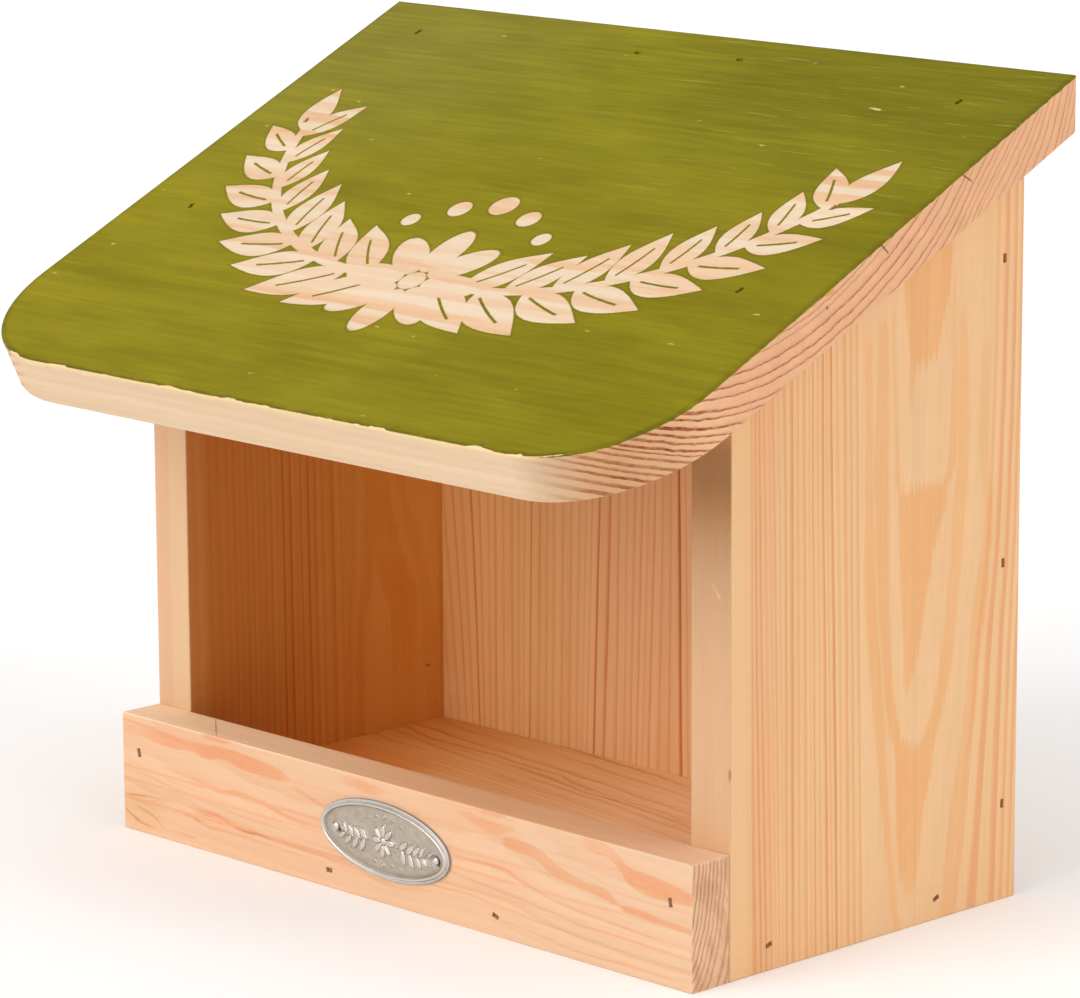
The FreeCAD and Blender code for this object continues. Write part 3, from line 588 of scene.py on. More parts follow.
def floor_board(t):
    L, W, T = t.x, t.y, -183.8 - t.z
    q = -(W + 0.135 * L + 0.0003 * (L * L)) + 0.8 * T + wobble(t, L, W, T, 6.6, 0.7, 0.25)
    rings = more([(-30.0, 0.4), (-25.0, 0.4), (-20.0, 0.4), (-15.0, 0.4), (-10.0, 0.4), (-5.0, 0.5), (0.0, 0.4), (5.0, 0.4), (9.0, 0.5), (13.0, 0.4),
                  (16.5, 0.5), (21.5, 0.5), (25.4, 0.3), (29.6, 0.5), (34.5, 0.4), (40.9, 0.5), (45.9, 0.5), (50.2, 0.6), (54.9, 0.3)], 150.0, 3.2)
    n, s = growth(t, q, rings)

    def tint(t, colour, height, g, end):
        inside = t.ramp(t.z, -184.4, -183.9)
        wave = t.noise(t.vec(L * (1 / 9), W * (1 / 9), 0.0), 2.0, 0.55) - 0.5
        fine = t.noise(t.vec(L * (1 / 4), W * 0.9, 3.0), 2.0, 0.6) - 0.5
        w = W + 2.2 * wave + 0.8 * fine
        lines = streaks(t, L, w, FLOOR_LINES, 0.80)
        # painted shade on the floor inside the box: darker and more orange to the left; painted light to the right
        deep = t.mix((0.97, 0.755, 0.395), (1.075, 1.05, 0.91), t.ramp(t.x, -100.0, -25.0, 0.0, 1.0, False))
        deep = times(t, colour, t.mix(deep, (1.25, 1.34, 1.40), t.ramp(t.x, -25.0, 22.0, 0.0, 1.0, False)))
        deep = t.mix(deep, times(t, deep, (0.74, 0.54, 0.36)), lines * (0.78 + 0.8 * fine))
        # painted shade: a darker, redder patch near the left wall
        shade_patch = t.ramp(t.y + 6.0 * wave, -50.0, -64.0) * t.ramp(t.x + 10.0 * wave, -48.0, -72.0)
        deep = t.mix(deep, times(t, deep, (0.93, 0.76, 0.56)), shade_patch)
        return t.mix(colour, deep, inside), height

    spans = [(t.x, -107.5, 107.5), (t.y, -122.0, -15.0), (t.z, -198.8, -183.8)]
    lk = look(seed=19.0, base=0.35, contrast=0.6, line=0.3, streak=0.2, hair=0.14)
    return L, W, T, n, s, lk, (1, 0, 0), spans, tint


# reddish bands and thin lines of the rail's grain: x, height over the lower edge, half width, strength
RAIL_BANDS = [
    [(-122.5, 34.9, .4, .7), (-116, 34.6, .5, .8), (-109, 33.9, .6, .7), (-102, 33.2, .6, .5), (-96, 33, .5, 0)],
    [(-121, 32.6, 1.1, .35), (-113, 32.2, 1.5, .5), (-106.6, 31.9, 2.0, .8), (-98.7, 31.6, 2.1, .85), (-91, 31.9, 1.6, .7), (-82.8, 31.5, 2.2, .9), (-74.9, 32.3, 1.9, .85),
     (-66.9, 31.5, 2.4, .95), (-59, 31.1, 2.4, .95), (-51, 30.6, 2.0, .8), (-47, 30.1, 1.2, .7), (-43.8, 29.7, .3, .3)],
    [(-86, 36.8, .2, 0), (-83, 36.5, .8, .7), (-77, 36.4, 1.0, .9), (-72, 36.6, .6, .6), (-70, 36.8, .3, 0)],
    [(-105, 22.7, .4, 0), (-101, 22.8, .5, .5), (-90.8, 21.9, .6, .6), (-82.8, 20.9, .7, .7), (-74.9, 20.2, .8, .85), (-68.5, 21.1, .7, .85), (-60.6, 20.7, .6, .7),
     (-55, 19.9, .6, .7), (-48.7, 18.6, .8, .75), (-41.5, 17.6, .8, .65), (-32.8, 17.5, .5, .6), (-24, 17.4, .4, .5)],
    [(-121, 19.3, .3, .3), (-109.8, 18.7, .4, .5), (-102.7, 17.5, .4, .5), (-94.7, 16.7, .4, .5), (-86.8, 15.9, .4, .45), (-78.8, 15.1, .4, .5), (-70.9, 14.5, .4, .5),
     (-63, 14.1, .4, .55), (-53.5, 13.9, .4, .5), (-49, 13.8, .3, 0)],
    [(-116, 21.0, .3, 0), (-112, 20.7, .35, .35), (-98.7, 19.1, .35, .35), (-90, 18.4, .3, .2), (-84, 18.0, .3, 0)],
    [(-105, 16.4, .3, 0), (-102.7, 16, .35, .35), (-90.8, 14.4, .35, .4), (-84, 14.0, .3, 0)],
    [(-90, 12.0, .3, 0), (-86.8, 11.8, .9, .7), (-81.2, 12.0, 1.1, .9), (-74.9, 11.4, 1.0, .9), (-68.5, 10.4, .8, .95), (-60.6, 10.0, .7, 1.0), (-51, 9.6, .5, .8),
     (-35.2, 9.2, .5, .7), (-23.3, 8.6, .7, .65), (-15.4, 8.4, .6, .55), (-.3, 6.2, .5, .45), (12, 7.2, .4, .4), (20, 8.8, .3, 0)],
    [(-70, 9.9, .2, 0), (-65, 9.7, .25, .9), (-58, 10.0, .25, .9), (-53, 9.9, .2, 0)],
    [(-90, 9.8, .3, 0), (-88.4, 9.4, .4, .6), (-84.4, 8.2, .4, .7), (-80.4, 7.8, .4, .9), (-72, 8.0, .35, .7), (-66.9, 8.0, .3, .6), (-51, 7.8, .3, .5), (-35, 7.2, .3, .4), (-24, 7.0, .3, 0)],
    [(-45, 27.6, .4, 0), (-42, 27.5, .5, .5), (-35.2, 25.9, .6, .6), (-28, 24.4, .5, .5), (-20, 23, .5, .4)],
    [(-23, 35.2, .3, 0), (-20, 34.4, 1.2, .4), (-14, 34.2, 1.6, .7), (-8, 33.9, 1.5, .7), (-4, 34.2, 1.0, .4), (0, 34.5, .4, 0)],
    [(-46, 12.5, .3, 0), (-43, 12.5, .3, .4), (-32, 12.2, .3, .4), (-23.3, 12, .3, .35)],
    [(27, 34.0, .3, 0), (31, 33.8, .8, .5), (38, 32.6, 1.6, .6), (44, 32.0, 1.6, .6), (48, 32.4, 1.0, .5), (51.5, 33.3, .3, .5), (53, 33.4, .2, 0)],
    [(30, 33.8, .3, 0), (34, 33.7, .35, .7), (44, 33.5, .35, .8), (51, 33.5, .3, .5), (53, 33.5, .2, 0)],
    [(36, 36.8, .3, 0), (39, 36.4, .7, .6), (45, 36.4, .7, .7), (50, 36.7, .3, 0)],
    [(46.4, 29.2, .2, 0), (48.2, 29.0, 1.6, .9), (54, 28.9, 1.9, .85), (60, 28.3, 1.9, .8), (66, 26.0, 2.2, .75), (71.4, 24.1, 1.9, .85), (79.4, 22.8, 1.3, .85), (87.3, 22.1, 1.5, .9),
     (91.5, 20.9, 1.3, .85), (94.4, 19.9, .6, .5), (96, 19.2, 1.0, .9), (103.2, 18.9, 1.2, 1.0), (111.1, 18.3, 1.0, .85), (122, 17.8, .9, .8)],
    [(78, 35, .5, 0), (82, 35.0, 1.9, .45), (89, 34.4, 1.9, .5), (94, 32.2, 1.9, .7), (99.2, 28.8, 2.7, .9), (107.1, 27.8, 3.0, 1.0), (113.5, 27.5, 2.6, .95), (122.2, 26.9, 1.8, .85)],
    [(80, 33.8, .2, 0), (84, 33.3, .35, .8), (92, 33.2, .35, .8), (97, 33.6, .3, .3), (99, 33.8, .2, 0)],
    [(24, 20.2, .5, .6), (33.3, 20.7, .6, .65), (39.7, 20.9, .65, .8), (47.6, 20.5, .7, .9), (54, 18.9, .55, .9), (60.3, 17.3, .45, .85), (68.3, 15.7, .4, .7), (76.2, 14.8, .4, .7),
     (87.3, 14.1, .4, .65), (95.2, 13.7, .4, .65), (107, 12.9, .35, .6), (122.2, 12.4, .35, .6)],
    [(24, 16.3, .4, .5), (33.3, 14.8, .5, .55), (41.3, 14.4, .5, .6), (50.8, 13.6, .5, .65), (60.3, 12.8, .45, .6), (71.4, 11.6, .45, .65), (79.4, 10.8, .45, .7),
     (91.3, 10.6, .45, .65), (103.2, 10.4, .45, .6), (122.2, 9.4, .45, .55)],
    [(24, 10.2, .35, .8), (33.3, 10.4, .35, .8), (41.3, 9.6, .35, .5), (51.6, 9.1, .35, .55), (60.3, 8.3, .35, .7), (68.3, 7.9, .35, .75), (79.4, 7.2, .35, .55), (99.2, 6.4, .35, .5),
     (122.2, 6.2, .35, .5)],
    [(46, 5.3, .3, 0), (48, 5.2, .3, .45), (55.6, 4.9, .3, .45), (65, 4.1, .3, .5), (75.4, 2.9, .35, .75), (87.3, 2.7, .35, .85), (92.9, 3.0, .35, .75), (103.2, 2.6, .3, .5),
     (112.7, 2.6, .3, .4), (118, 2.6, .3, 0)],
    [(62, 27.2, .3, 0), (66.7, 27.1, .4, .35), (79.4, 26.6, .4, .35), (90, 24.6, .4, .25), (95, 23.6, .3, 0)]]
# dark, tight grain at the left end
RAIL_SWIRLS = [
    [(-121.5, 11.0, .2, .6), (-118, 11.3, .3, 1.0), (-114, 11.8, .3, .9), (-108, 12.2, .3, .6), (-103, 12.3, .25, .3), (-98, 12.2, .2, 0)],
    [(-112, 10.6, .2, 0), (-109, 11.0, .25, .5), (-104, 11.6, .25, .4), (-100, 12.0, .2, 0)],
    [(-122, 6.6, .3, .8), (-118.5, 4.6, .4, 1.0), (-114, 3.2, .35, 1.0), (-110, 2.7, .25, .8), (-107, 2.6, .2, 0)],
    [(-118, 8.4, .2, 0), (-116, 8.0, .25, .7), (-112, 7.3, .3, .8), (-107, 5.6, .3, .7), (-103, 3.4, .25, .5), (-100, 2.6, .2, 0)],
    [(-119, 9.6, .2, 0), (-116, 9.7, .2, .5), (-112, 9.3, .25, .5), (-108, 8.4, .2, .4), (-104, 7.6, .2, 0)],
    [(-101, 3.4, .2, 0), (-98, 3.4, .25, .5), (-90, 3.1, .25, .5), (-86, 3.0, .2, 0)],
    [(-96, 9.0, .2, 0), (-92, 9.6, .3, .5), (-86, 9.2, .3, .6), (-80, 9.4, .2, 0)]]


def rail_board(t):
    L, W, T = t.x, t.z + 200.0, t.y + 137.0
    bow = (41.6 - W) * (41.6 - W) * (1 / 170.0) * (1.0 - 0.04 * T)
    drift = t.curve(L, [(-126.0, -1.3), (-118.0, -1.1), (-98.0, -0.4), (-75.0, 0.0), (-52.0, 0.6), (-30.0, 0.9), (0.0, 0.4), (30.0, 0.07), (44.0, 0.0),
                        (59.0, 0.9), (80.0, 1.85), (100.0, 2.2), (126.0, 2.4)], True)
    a = t.noise(t.vec(L * (1 / 34) + 4.4, W * (1 / 7), T * (1 / 7)), 2.0, 0.5) - 0.5
    b = t.noise(t.vec(L * (1 / 15) + 4.4, W * 0.42, T * 0.42), 2.0, 0.55) - 0.5
    c = t.noise(t.vec(L * (1 / 11) + 4.4, W * 1.3, T * 1.3), 2.0, 0.6) - 0.5
    q = T + bow - drift + a * 1.0 + b * 0.42 + c * 0.26
    rings = more([(-8.0, 0.5), (-6.0, 0.6), (-4.2, 0.7), (-2.6, 0.9), (-0.8, 0.9), (1.0, 0.95), (2.5, 0.8), (3.8, 0.72), (5.4, 0.95), (6.8, 0.8),
                  (8.3, 0.55), (9.9, 0.6), (11.5, 0.55)], 32.0, 2.2)
    n, s = growth(t, q, rings)

    def tint(t, colour, height, g, end):
        front = t.ramp(t.y, -136.4, -136.9) * (1.0 - end)
        rough = t.noise(t.vec(L * (1 / 5), W * 1.6, 0.0), 2.0, 0.6) - 0.5
        w = W + 0.9 * b + 0.45 * c + 0.35 * rough
        bands = streaks(t, L, w, RAIL_BANDS, 0.40)
        colour = t.mix(colour, times(t, colour, (0.985, 0.71, 0.56)), bands * front * (0.92 + 0.7 * rough + 0.5 * a))
        swirls = streaks(t, L, w, RAIL_SWIRLS, 0.32)
        colour = t.mix(colour, times(t, colour, (0.80, 0.62, 0.38)), swirls * front * (0.9 + 1.2 * rough))
        colour = t.mix(colour, times(t, colour, (0.965, 1.015, 1.05)), t.ramp(t.x, 20.0, 80.0) * front)
        dim = t.spot(L, W, -114.0, 8.0, 10.0, 7.0, 0.0, 0.6) * front
        colour = t.mix(colour, times(t, colour, (0.97, 0.93, 0.84)), dim)
        dark = t.band(L, w, [(-72, 10.0, .2, 0), (-66, 9.8, .25, .9), (-58, 10.0, .25, 1.0), (-53, 9.9, .2, 0)], 0.25) * front
        colour = t.mix(colour, times(t, colour, (0.76, 0.66, 0.50)), dark)
        # the sawn top: painted light, duller, paler and greyer, most at the left end, with a scratch across
        top = t.ramp(t.z, -163.5, -163.05) * (1.0 - end)
        dull = t.mix((1.28, 1.53, 1.62), (1.09, 1.08, 1.0), t.ramp(t.x, -80.0, 35.0))
        dull = t.mix(dull, (1.083, 1.12, 1.19), t.ramp(t.x, 72.0, 118.0))
        colour = t.mix(colour, times(t, colour, dull), top)
        scratch = t.spot(t.x, t.y, -86.5, -129.5, 9.5, 0.30, -0.69, 0.5) * top
        colour = t.mix(colour, srgb(130, 96, 60), scratch * 0.4)
        # pale bruises on the end grain
        patch = t.ramp(t.noise(t.vec(3.0, W * 0.10 + 0.12 * T, T * 0.16), 2.0, 0.5), 0.40, 0.62)
        colour = t.mix(colour, times(t, colour, t.mix((1.22, 1.36, 1.38), (1.06, 1.08, 1.05), patch)), end)
        fleck = t.max(t.spot(T, W, 3.7, 33.9, 0.55, 0.45), t.spot(T, W, 9.9, 25.9, 0.28, 1.1, 0.8))
        fleck = fleck * t.ramp(t.x, 121.6, 122.2)
        colour = t.mix(colour, srgb(246, 204, 168), fleck * 0.7)
        return colour, height - scratch * 0.1

    spans = [(t.x, -122.5, 122.5), (t.y, -137.0, -122.0), (t.z, -200.0, -163.0)]
    lk = look(seed=23.0, early=srgb(248, 207, 168), late=srgb(244, 190, 146), late2=srgb(243, 186, 144), bold=srgb(234, 164, 116), warm=srgb(247, 196, 156),
              pale=srgb(250, 212, 176), start=0.34, spread=0.16, rise=0.25, base=0.55, contrast=0.45, line=0.05, warmth=0.5, end_early=srgb(230, 182, 146), end_late=srgb(204, 142, 106),
              end_line=srgb(158, 98, 68), end_soft=0.75, end_hard=0.48, end_from=0.60, tone=(0.79, 0.745, 0.73))
    return L, W, T, n, s, lk, (1, 0, 0), spans, tint


COS, SIN = math.cos(math.radians(25.5)), math.sin(math.radians(25.5))
# how far the rings have dropped through the roof board at each distance down the slope
DROP = [(-10.0, -12.0), (0.0, 0.0), (10.0, 11.5), (20.0, 20.8), (30.0, 27.4), (40.0, 32.5), (50.0, 37.3), (57.0, 41.2), (65.0, 45.3), (75.0, 48.8), (85.0, 51.4),
        (95.0, 53.3), (105.0, 54.5), (115.0, 55.0), (125.0, 54.8), (135.0, 53.8), (145.0, 51.8), (155.0, 48.7), (165.0, 44.4), (175.0, 39.0),
        (185.0, 32.5), (207.0, 15.0)]
ROOF_RINGS = [(-6.0, 0.5), (-3.0, 0.6), (-1.0, 0.5), (0.8, 0.7), (2.5, 0.8), (4.3, 0.4), (7.8, 0.9), (11.0, 1.0), (13.7, 0.8), (17.5, 0.7), (19.4, 1.0), (22.5, 1.0),
              (24.8, 0.7), (27.0, 0.5), (29.3, 0.8), (30.7, 0.6), (33.0, 0.4), (36.0, 0.4), (38.2, 0.4), (40.8, 0.8), (44.0, 0.5),
              (47.5, 0.6), (51.5, 0.7), (54.0, 0.6), (57.0, 0.5), (60.0, 0.5), (64.0, 0.5), (68.0, 0.5), (72.0, 0.5), (76.0, 0.4)]


def roof_frame(t):
    """u along the wall, s down the slope, d under the top face."""
    u = t.x
    s = (45.0 - t.z) * SIN - t.y * COS
    d = (45.0 - t.z) * COS + t.y * SIN
    return u, s, d


def leaf(t, x, y, length, width):
    """Signed size of a pointed leaf along x from 0: above 0 inside it, in millimetres."""
    k = x / length
    w = k * (1.0 - k) * (1.0 - 0.55 * k) * (width * 2.9)
    return t.min(w - abs(y), t.min(x, length - x) + 0.5)


def garland(t, u, s):
    """A symmetric leafy garland with a rosette, as a stencil: above 0 inside the motif, in millimetres."""
    a = abs(u)
    du, ds = a - 18.0, s - 40.0
    radius = t.hypot(du, ds)
    angle = t.math("ARCTAN2", du, ds)
    arc, off = angle * 100.0 + 8.0, radius - 100.0
    pitch, count = 16.5, 8.0
    fade = t.ramp(arc, 10.0, 146.0, 1.0, 0.62, False)
    # stem
    body = (1.6 * fade + 0.3) - abs(off)
    shape = t.min(body, t.min(arc, 134.0 - arc) + 0.6)
    # pairs of leaves, one outside and one inside the stem, half a step apart
    for side, shift in ((1.0, 0.0), (-1.0, 8.25)):
        for back_step in (0.0, 1.0):
            k = t.math("FLOOR", (arc - shift) / pitch) - back_step
            k = t.max(t.min(k, count - 1.0), 0.0)
            lx = arc - shift - k * pitch - 1.0
            ly = off * side - 0.6
            h = t.white(k + (5.0 if side > 0 else 55.0))
            lean = 0.72 + 0.16 * (h - 0.5)
            c, sn = t.math("COSINE", lean), t.math("SINE", lean)
            size = t.ramp(k, 0.0, count - 1.0, 1.0, 0.72, False) * (0.93 + 0.14 * h)
            px = lx * c + ly * sn
            py = ly * c - lx * sn
            one = leaf(t, px, py, 31.0 * size, 12.8 * size)
            vein = t.max(0.46 - abs(py), -9.0)
            vein = t.min(vein, t.min(px - 4.0, 21.5 * size - px))
            shape = t.max(shape, t.min(one, -vein))
    # terminal leaf
    tip = leaf(t, arc - 128.0, off, 25.0, 10.0)
    shape = t.max(shape, tip)
    # rosette on the axis of symmetry
    ru, rs = a, s - 140.0
    rr = t.hypot(ru, rs)
    ra = t.math("ARCTAN2", ru, rs)
    step = math.pi / 4
    fold = t.math("PINGPONG", ra, step / 2)
    px, py = rr * t.math("COSINE", fold), rr * t.math("SINE", fold)
    petal = 1.0 - t.hypot((px - 15.6) / 11.0, py / 5.7)
    petal = petal * 5.7
    disc = 4.4 - rr
    shape = t.max(shape, t.max(petal, disc))
    # buds above it
    for bu, bs, br in ((0.0, 99.0, 4.8), (14.5, 103.5, 3.9), (27.5, 112.0, 3.1)):
        shape = t.max(shape, br - t.hypot(a - bu, s - bs))
    return shape


def roof_material():
    t = Tree("stained_roof_wood", Specular_IOR_Level=0.06)
    u, s, d = roof_frame(t)
    L, W, T = u, s, d
    waves = t.noise(t.vec(u * (1 / 80) + 3.3, s * (1 / 4.5), d * (1 / 4.5)), 1.0, 0.5) - 0.5
    q = d + 55.0 - t.curve(s, DROP, True) + wobble(t, L, W, T, 9.4, 0.9, 0.30, 80.0, 0.14) + 0.006 * (141.0 - u) + 0.7 * waves
    n, strength = growth(t, q, ROOF_RINGS)
    nx, ny, nz = t.normal()
    end = t.ramp(abs(nx), 0.14, 0.62)
    front_face = t.ramp(-(ny * COS + nz * SIN), 0.75, 0.97)
    faint = 1.0 - 0.60 * front_face
    # the rings stand out at the front of the end grain and fade towards the wall
    corner = t.ramp(s, 155.0, 184.0)
    vivid = t.ramp(s, 30.0, 160.0, 0.40, 0.78) + 0.42 * corner
    lk = look(seed=29.0, early=srgb(242, 212, 180), late=srgb(238, 184, 138), late2=srgb(236, 178, 134), bold=srgb(224, 156, 108), warm=srgb(241, 203, 166),
              pale=srgb(245, 219, 190), end_early=t.mix(srgb(236, 186, 150), srgb(249, 208, 168), corner), end_late=srgb(220, 154, 118),
              end_line=t.mix(srgb(148, 82, 54), srgb(166, 84, 50), corner), streak=0.10,
              contrast=0.75, line=0.25, end_from=t.lerp(0.77, 0.50, corner), end_soft=0.85, end_hard=1.0)
    colour, g, height = wood(t, L, W, T, n, t.lerp(strength, strength * vivid, end) * faint, lk, end)
    # broad warm stripes along the grain of the top face, and painted shade: each face darkened by its own amount
    top_face = t.ramp(nz, 0.6, 0.8)
    stripe_at = s * (1 / 7.4) + 0.05 * u * (1 / 7.4) + 0.9 * waves + 0.8 * (t.noise(t.vec(u * (1 / 30), s * (1 / 9), 6.0), 2.0, 0.5) - 0.5)
    turn, part = t.math("FLOOR", stripe_at), t.math("FRACT", stripe_at)
    stripe = t.ramp(part, 0.42, 0.70) * t.ramp(part, 0.98, 0.86) * t.lerp(0.55, 1.0, t.white(turn + 4.2))
    colour = t.mix(colour, times(t, colour, (0.985, 0.885, 0.80)), stripe * top_face)
    shade = t.mix((0.915, 0.865, 0.79), (0.792, 0.795, 0.765), front_face)
    colour = times(t, colour, t.mix(shade, (0.822, 0.866, 0.895), top_face))
    # the right front corner cuts across the grain: darker and browner, partly denser end grain and partly painted shade
    # where the corner turns away from the lights
    round_at = t.math("ARCTAN2", t.max(u - 100.0, 0.0), t.max(s - 165.0, 0.02)) * (180 / math.pi)
    dense_grain_and_shade = t.curve(round_at, [(0.0, 0.03), (5.0, 0.20), (13.0, 0.48), (21.0, 0.66), (29.0, 0.82), (37.0, 0.96), (45.0, 1.0), (53.0, 0.94), (61.0, 0.80),
                               (69.0, 0.62), (77.0, 0.33), (85.0, 0.06), (90.0, 0.0)], True)
    dense_grain_and_shade = dense_grain_and_shade * t.ramp(abs(nz * COS - ny * SIN), 0.8, 0.5)
    colour = t.mix(colour, times(t, colour, (0.69, 0.61, 0.545)), dense_grain_and_shade)
    # two short checks from the top arris of the right end, and a spot of resin
    right_end = t.ramp(u, 139.5, 140.8)
    for s0, s1, deep in ((54.4, 51.2, 4.5), (91.2, 89.4, 4.3)):
        line = abs(s - (s0 + (s1 - s0) / deep * d)) - (0.26 - 0.04 * d)
        crack = t.ramp(line, 0.22, -0.02) * t.ramp(d, deep, deep - 0.6) * right_end
        colour = t.mix(colour, srgb(120, 78, 48), crack * 0.75)
        height = height - crack * 0.25
    resin = t.ramp(t.hypot((s - 114.4) / 2.3, (d - 0.5) / 1.5) + 0.35 * (t.noise(t.vec(u * 0.5, s * 0.9, d * 0.9)) - 0.5), 1.05, 0.75) * right_end
    colour = t.mix(colour, srgb(206, 152, 56), resin * 0.75)
    dot = t.ramp(t.hypot(s - 117.0, d - 4.4), 0.65, 0.35) * right_end
    colour = t.mix(colour, srgb(128, 76, 40), dot * 0.75)
    # the stain: on the top face, stopping just short of the arris, unevenly along the front
    inset = 41.0 - t.hypot(t.max(abs(u) - 100.0, 0.0), t.max(s - 165.0, 0.0))
    rag = t.noise(t.vec(u * 0.12, s * 0.24, d * 0.3), 2.0, 0.55)
    front = t.ramp(s, 165.0, 196.0)
    shy = 0.12 + front * (0.10 + 1.0 * t.ramp(rag, 0.48, 0.72, 0.0, 1.0) * t.ramp(abs(u), 124.0, 104.0, 0.1, 1.0))
    gap = t.min(inset - shy + 0.8 * end, s + 0.4)
    torn = t.noise(t.vec(u * 0.25, s * 0.32, 7.0), 2.0, 0.55)
    creep = 0.20 * end * t.ramp(torn, 0.44, 0.66) + 0.2 * front * (1.0 - end) * t.ramp(torn, 0.5, 0.62)
    on_top = t.ramp(d - creep, 0.75, 0.35)
    in_pit = t.ramp(inset, 1.5, 2.5)
    edge = t.max(on_top, in_pit * t.ramp(d, 2.4, 1.8))
    bleed = (t.noise(t.vec(u * 0.35, s * 2.2, 0.0), 2.0, 0.6) - 0.5) * 0.5
    motif = garland(t, u, s)
    open_wood = t.ramp(motif + bleed, -0.16, 0.16)
    cover = t.ramp(gap + bleed * 0.3, -0.16, 0.16) * edge
    # rim: yellowish under the edge of the stain, and a few smears of it on the front
    rim = t.ramp(d + (rag - 0.5) * 2.2, 1.7, 0.5) * (1.0 - cover) * t.lerp(front, 0.55, end)
    smear_v = t.vec(u * (1 / 6.0), d * (1 / 1.1), s * 0.4)
    smear = t.ramp(t.noise(smear_v, 2.0, 0.6), 0.66, 0.76) * t.ramp(d, 3.6, 1.0) * front * (1.0 - end) * (1.0 - cover)
    slack = t.noise(t.vec(u * 0.13, s * 0.17, 3.0), 2.0, 0.5)
    pool = t.ramp(inset - shy, 2.2, 0.3) * t.ramp(slack, 0.36, 0.56, 0.30, 0.8) * t.lerp(0.55, 1.0, front)
    pool = t.max(pool, t.ramp(s, 1.5, 0.4) * t.ramp(slack, 0.38, 0.56) * 0.8)
    pool = t.max(pool, t.ramp(abs(motif + 0.5), 0.5, 0.1) * 0.35)
    # semi-transparent green over the wood, laid on along the grain
    b1 = t.noise(t.vec(u * (1 / 60) + 2.0, s * (1 / 11), 0.3), 3.0, 0.55) - 0.5
    b2 = t.noise(t.vec(u * (1 / 28) + 5.0, s * 0.62, 0.7), 3.0, 0.6) - 0.5
    b3 = t.noise(t.vec(u * (1 / 6) + 1.0, s * 2.6, 0.1), 2.0, 0.6) - 0.5
    cloud = t.noise(t.vec(u * (1 / 45) + 9.0, s * (1 / 38), 0.5), 2.0, 0.5) - 0.5
    paint = t.mix(srgb(120, 112, 9), srgb(141, 132, 23), t.ramp(b1 + b2 * 0.55 + cloud * 0.6, -0.30, 0.30, 0.0, 1.0, False))
    paint = t.mix(paint, srgb(112, 106, 18), g * 0.22)
    # paint lighter to the left and darker at the back right, partly uneven staining and partly painted light; a painted
    # sheen at the back, paler and bluer, most at the back left, and less blue towards the right
    across = t.ramp(u, -141.0, 141.0, 1.08, 0.93, False) * (1.0 - 0.13 * t.ramp(s, 80.0, 10.0) * t.ramp(u, -50.0, 60.0))
    paint = t.gain(paint, across * (1.0 + 0.15 * b3 + 0.17 * b2))
    far = t.ramp(s, 125.0, 25.0)
    paint = t.mix(paint, times(t, paint, (1.0, 1.0, 0.72)), t.ramp(u, 40.0, 118.0) * (1.0 - far))
    paint = times(t, paint, t.mix((0.985, 0.955, 0.86), (0.925, 0.935, 0.95), far))
    paint = t.vmath("ADD", paint, t.gain(t.mix((0.0, 0.0, 0.0), (0.0, 0.0, 0.013), far), t.ramp(u, 0.0, -110.0)))
    # fine ridges where the grain stands up towards the wall, hair-thin pale lines and small bare flecks
    ridge = t.noise(t.vec(u * (1 / 34) + 3.0, s * 0.80, 0.9), 2.0, 0.5) - 0.5
    rear = t.ramp(s, 110.0, 10.0, 0.10, 1.0) * t.ramp(u, -120.0, 60.0, 0.55, 1.0)
    paint = t.gain(paint, 1.0 + 0.46 * ridge * rear)
    raised = t.ramp(t.noise(t.vec(u * (1 / 20) + 8.0, s * 1.30, 0.4), 1.0, 0.4), 0.66, 0.76) * t.ramp(s, 130.0, 10.0, 0.10, 0.9) * t.ramp(u, -100.0, 90.0, 0.25, 1.0)
    paint = t.mix(paint, srgb(176, 166, 78), raised * 0.45)
    fleck_v = t.vec(u * (1 / 8.0), s * (1 / 3.0), 0.0)
    crumb = t.noise(t.vec(u * 0.8, s * 2.2, 2.0), 2.0, 0.6) - 0.5
    fleck = t.ramp(t.cells(fleck_v) + 0.55 * crumb, 0.17, 0.05) * t.ramp(t.cell_value(fleck_v), 0.965, 0.975)
    paint = t.mix(paint, srgb(206, 196, 112), fleck * 0.65)
    big = t.ramp(t.hypot((u - 88.1) / 3.2, (s - 28.5 - (u - 88.1) * 0.12) / 0.6) + 1.6 * crumb, 1.05, 0.6)
    paint = t.mix(paint, srgb(214, 205, 130), big * 0.75)
    paint = t.mix(paint, srgb(72, 68, 10), pool * 0.72)
    stained = cover * (1.0 - open_wood)
    colour = t.mix(colour, srgb(234, 212, 146), rim * 0.42 * (1.0 - 0.5 * end))
    colour = t.mix(colour, srgb(196, 178, 84), smear * 0.5)
    colour = t.mix(colour, paint, stained)
    height = height * (1.0 - 0.35 * stained) + 0.03 * stained + 0.05 * stained * ridge * rear
    edge_d = t.max(t.min(inset, s + 0.5), t.min(d, 15.0 - d))
    # paler arrises on the bare wood: partly handling, partly a painted highlight
    rub_and_highlight = t.ramp(edge_d, 0.8, 0.1) * (1.0 - stained) * (1.0 - end * t.ramp(d, 2.5, 1.0))
    colour = t.mix(colour, srgb(244, 214, 172), rub_and_highlight * 0.12)
    rough = t.lerp(0.62 + 0.12 * end, 0.50 + 0.12 * (b2 + 0.5), stained)
    return t.finish(colour, rough, height)


